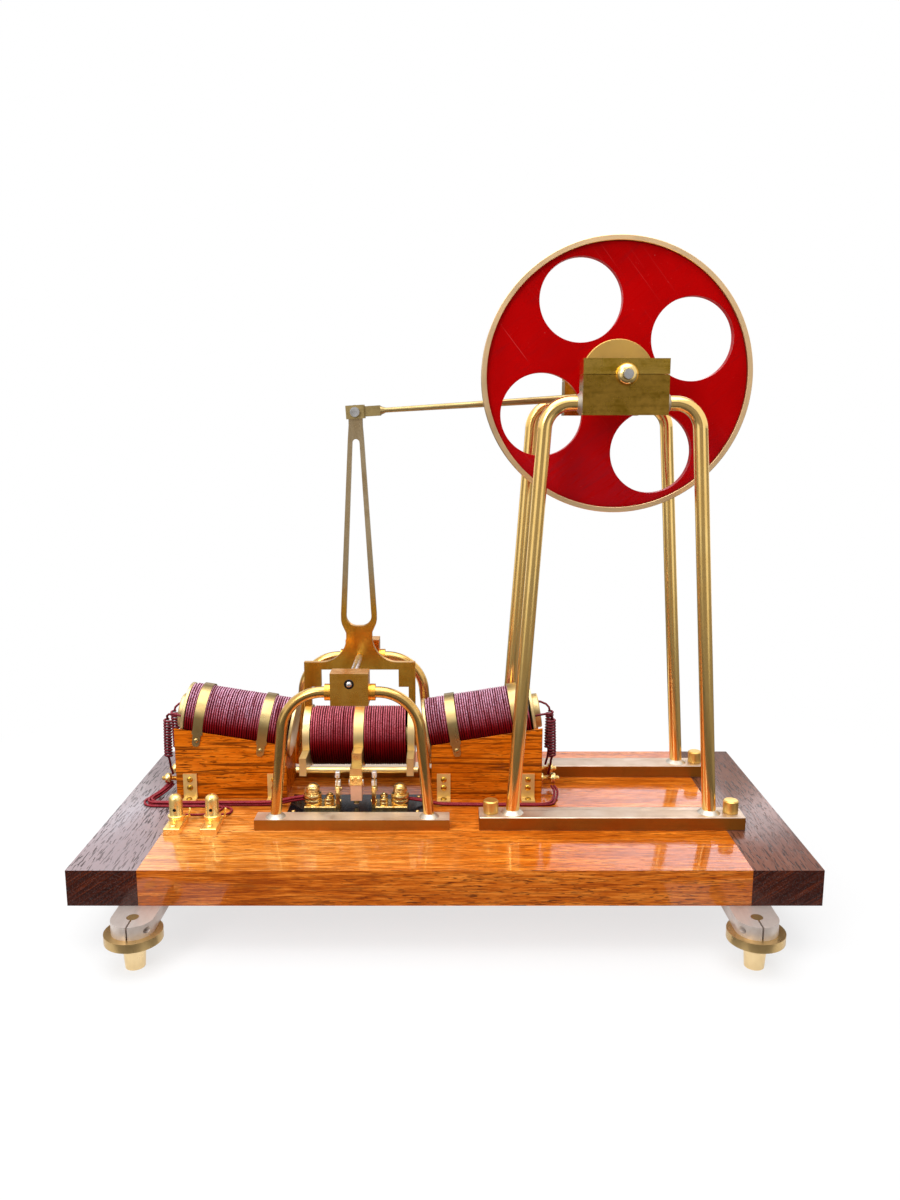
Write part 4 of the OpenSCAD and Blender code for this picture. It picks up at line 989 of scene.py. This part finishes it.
def leads():
    """Covered wires beside the cradles and behind the supply terminals."""
    routes = []
    for row in range(2):
        upper = [(x, y, z + 1.9) for x, y, z in left_route(0.6 + 1.9 * row)]
        routes += [(f"left_lead_{row + 3}", upper, -1),
                   (f"left_lead_{row + 1}", left_route(row * LEAD_PITCH), -1),
                   (f"right_lead_{row + 1}", right_route(row * LEAD_PITCH), 1)]
    routes += [("terminal_lead", TERMINAL_ROUTE, -1),
               ("terminal_lead_branch", TERMINAL_BRANCH, -1)]
    for name, route, side in routes:
        path = [Vector((ROCKER.x + side * x, y, TOP + WIRE + z)) for x, y, z in route]
        Shape().tube(smooth_path(path, 6), WIRE, 10).build(name, "red_wire", slot="red_wire",
                                                           replaced="lead_wires")


# ---------- shaft, bolts and feet

def shaft_ends():
    """Rounded bushes in the bearing faces, with the ball-shaped ends of the shaft."""
    low, high = box_mm("shaft_bushes")
    bushes, balls = Shape(), Shape()
    for y, out in ((low.y, FRONT), (high.y, BACK)):
        place = stand((WHEEL.x, y, WHEEL.z), out)
        bushes.lathe([(3.4, -5.4), (7.2, -5.4), (7.5, -4.6), (7.4, -3.4), (6.9, -2.0),
                      (6.1, -0.8), (5.0, 0.0), (4.0, 0.3), (3.5, 0.1), (3.4, -0.4), (3.4, -5.4)],
                     place, 56)
        balls.lathe([(0, -1.5), (3.4, -1.5)] + dome(3.4, -0.4, 3.0, 8), place, 40)
    bushes.build("bush_rings", "bright_brass", replaced="shaft_bushes")
    balls.build("shaft_balls", "steel", "flywheel", "steel")


def stand_bolt_heads():
    """Round heads of the bolts that stand above the bars."""
    shape = Shape()
    for low, high in islands("stand_bolts"):
        x, y, _ = middle(low, high)
        radius, rise = (high.x - low.x) / 2, high.z - low.z
        if rise > 20:
            shape.lathe([(0, rise - 9.5), (radius - 0.3, rise - 9.5), (radius, rise - 9.2),
                         (radius, rise - 0.8), (radius - 0.8, rise), (0, rise)],
                        stand((x, y, low.z)), 48)
    shape.build("stand_bolt_heads", "hub_brass", slot="satin_brass", replaced="stand_bolts")


def pivot_end():
    """Ends of the rocker's shaft, rings of painted shade round them and sleeves beside the plate.
    """
    low, high = box_mm("rocker_shaft")
    for y, out, word in ((low.y, FRONT, "front"), (high.y, BACK, "rear")):
        end, ring = (stand((ROCKER.x, y - out[1] * sunk, ROCKER.z), out) for sunk in (0, 0.5))
        Shape().lathe([(0, -1.0), (2.0, -1.0), (2.0, 0.1)] + dome(1.9, 0.2, 1.1), end).build(
            f"pivot_end_{word}", "steel", "rocker", "steel")
        # Painted shade: a dark ebonite ring round each end stands for the shade of a recess.
        Shape().lathe([(2.1, 0.35), (3.3, 0.35), (3.5, 0.1), (3.5, -0.3), (2.1, -0.3),
                       (2.1, 0.35)], ring, 40).build(
            f"pivot_painted_shade_{word}", "ebonite", slot="ebonite")
    low, high = box_mm("rocker_frame")
    blocks = islands("rocker_blocks")
    front = max(b[1].y for b in blocks if b[1].y < low.y) + 0.6
    rear = min(b[0].y for b in blocks if b[0].y > high.y) - 0.6
    for a, b, word in ((front, low.y, "front"), (high.y, rear, "rear")):
        long = b - a
        Shape().lathe([(0, 0), (2.3, 0), (2.6, 0.3), (2.6, long - 0.3), (2.3, long), (0, long)],
                      stand((ROCKER.x, a, ROCKER.z), BACK), 40).build(
            f"shaft_sleeve_{word}", "steel", "rocker", "steel")


# ---------- camera, lights and stage

LENS, SENSOR = 29.4, 36.0
EYE = (0.0034, -0.719, 0.351)
LOOK_DOWN = 10.46
FLOOR_REACH = 12.0
WHITE = (1, 1, 1)
OBJECT = (0, 0, 0.2)

# Name, place, target, width and height in metres, power in watts, shown in mirrors
LAMPS = (("overhead", (-0.1, -0.2, 1.6), (0, 0, 0.1), 1.9, 1.5, 28, True),
         ("key", (-0.9, -1.3, 1.1), OBJECT, 0.6, 0.8, 12, True),
         ("rear_left", (-0.8, 1.4, 0.95), OBJECT, 0.8, 0.6, 7, False),
         ("rear_right", (0.8, 1.4, 0.95), OBJECT, 0.8, 0.6, 5, False))


def camera():
    data = bpy.data.cameras.new("camera")
    data.sensor_width = SENSOR
    data.lens = LENS
    eye = placed("camera", data)
    eye.location = EYE
    eye.rotation_euler = (radians(90 - LOOK_DOWN), 0, 0)
    bpy.context.scene.camera = eye


def lamps():
    for name, place, target, width, height, power, mirrored in LAMPS:
        data = bpy.data.lights.new(name, "AREA")
        data.shape = "RECTANGLE"
        data.size, data.size_y, data.energy = width, height, power
        lamp = placed(name, data)
        lamp.location = place
        ahead = Vector(target) - Vector(place)
        lamp.rotation_euler = ahead.to_track_quat("-Z", "Y").to_euler()
        lamp.visible_glossy = mirrored


def seen_share(tree):
    """1 where the camera, a reflection or glass looks at the background, else 0."""
    path = tree.nodes.new("ShaderNodeLightPath")
    seen = path.outputs["Is Camera Ray"]
    for kind in ("Is Glossy Ray", "Is Transmission Ray"):
        seen = add(tree, "ShaderNodeMath", {0: seen, 1: path.outputs[kind]},
                   operation="MAXIMUM")
    return seen


def world():
    scene = bpy.context.scene
    scene.world = bpy.data.worlds.new("studio")
    scene.world.use_nodes = True
    tree = scene.world.node_tree
    tree.nodes.clear()
    seen = add(tree, "ShaderNodeBackground", {"Color": WHITE, "Strength": 1.0})
    fill = add(tree, "ShaderNodeBackground", {"Color": (0.96, 0.97, 1), "Strength": 0.35})
    mix = add(tree, "ShaderNodeMixShader", {0: seen_share(tree), 1: fill, 2: seen})
    put(tree, tree.nodes.new("ShaderNodeOutputWorld").inputs[0], mix)
    scene.view_settings.view_transform = "Standard"


def flat_mesh(name, corners, materials):
    """Mesh of separate four-cornered faces, each with its own material."""
    mesh = bpy.data.meshes.new(name)
    mesh.from_pydata(corners, [], [range(k, k + 4) for k in range(0, len(corners), 4)])
    for k, material in enumerate(materials):
        mesh.materials.append(material)
        mesh.polygons[k].material_index = k
    return mesh


def floor():
    """Pale floor that fades to plain white away from the object."""
    n = Nodes("floor")
    far = n.spread(n.vector("LENGTH", n.place, out="Value"), 0.22, 0.6, 0.72, 1.0)
    n.finish((0.86, 0.86, 0.86), 0.7)
    material = n.surface(n.add("ShaderNodeMixShader", {
        0: n.times(far, seen_share(n.tree)), 1: n.shader.outputs[0], 2: n.glow(WHITE, 1.0)}))
    square = [(x * FLOOR_REACH, y * FLOOR_REACH, 0)
              for x, y in ((-1, -1), (1, -1), (1, 1), (-1, 1))]
    placed("floor", flat_mesh("floor", square, [material]))


def card(name, corners, materials):
    """Studio cards that only reflections show."""
    piece = placed(name, flat_mesh(name, corners, materials))
    piece.visible_camera = piece.visible_diffuse = piece.visible_shadow = False


def dark_cards():
    """Low cards on each side, so that upright faces don't all mirror white."""
    corners, materials = [], []

    def strip(k, brightness, *lines):
        """Strip between two lines, each (half length, distance, height), on side k."""
        turn = Matrix.Rotation(tau * k / 4, 3, "Z")
        (a, b, c), (d, e, f) = lines
        ring = (-a, -b, c), (a, -b, c), (d, -e, f), (-d, -e, f)
        corners.extend(turn @ Vector(p) for p in ring)
        n = Nodes(f"dark_cards_{len(materials)}")
        materials.append(n.surface(n.glow((0.88, 0.83, 0.78), brightness)))
    for k in range(4):
        near, rise = (0.17, 0.95) if k == 0 else (0.3, 0.5)
        lines = ((0.5, near, 0.003), (0.6, 0.45, 0.003), (0.95, 1.9, 0.003), (0.95, 1.9, 0.32),
                 (0.95, 1.9, rise))
        for brightness, *pair in zip((0.14, 0.32, 0.46, 0.23), lines, lines[1:]):
            strip(k, brightness, *pair)
    strip(0, 0.14, (0.16, 0.12, 0.003), (0.16, 0.17, 0.003))
    card("dark_cards", corners, materials)


def sheen_card():
    """Wide card behind, with soft bright parts at the sides and a soft dark middle."""
    n = Nodes("sheen_card")
    x, z = n.axis("X"), n.axis("Z")
    low = n.times(n.spread(z, 0.45, 0.6), n.spread(z, 1.0, 1.35, 1.0, 0.0))
    slant = n.blend((x, 1.0), (z, 0.72))
    left = n.times(n.spread(x, -1.55, -1.15), n.spread(slant, -0.21, -0.15, 1.0, 0.0))
    right = n.times(n.spread(x, 0.0, 0.5), n.spread(x, 1.15, 1.55, 1.0, 0.0))
    lobes = n.times(n.blend((left, 1.5), (right, 2.1)), low)
    middle_x = n.times(n.spread(x, -0.6, -0.3), n.spread(x, 0.3, 0.7, 1.0, 0.0))
    shade = n.times(middle_x, n.spread(z, 0.72, 0.9))
    shade = n.times(shade, n.spread(z, 1.5, 1.8, 1.0, 0.0))
    bright = n.times(n.math("ADD", 1.0, lobes), n.math("SUBTRACT", 1.0, n.times(shade, 0.85)))
    colour = n.mix(left, (0.98, 0.96, 1.0), (0.84, 0.92, 1.0))
    card("sheen_card", [(-1.7, 1.5, 0.45), (1.7, 1.5, 0.45), (1.7, 1.5, 1.85), (-1.7, 1.5, 1.85)],
         [n.surface(n.glow(colour, bright))])


for make in (camera, finish_cad_nodes, coils, pigtails, leads, contact_stands, finger_trim,
             terminal_posts, lead_terminals, bracket_screws, plate_screws, shaft_ends,
             stand_bolt_heads, pivot_end, world, floor, dark_cards, sheen_card, lamps):
    make()
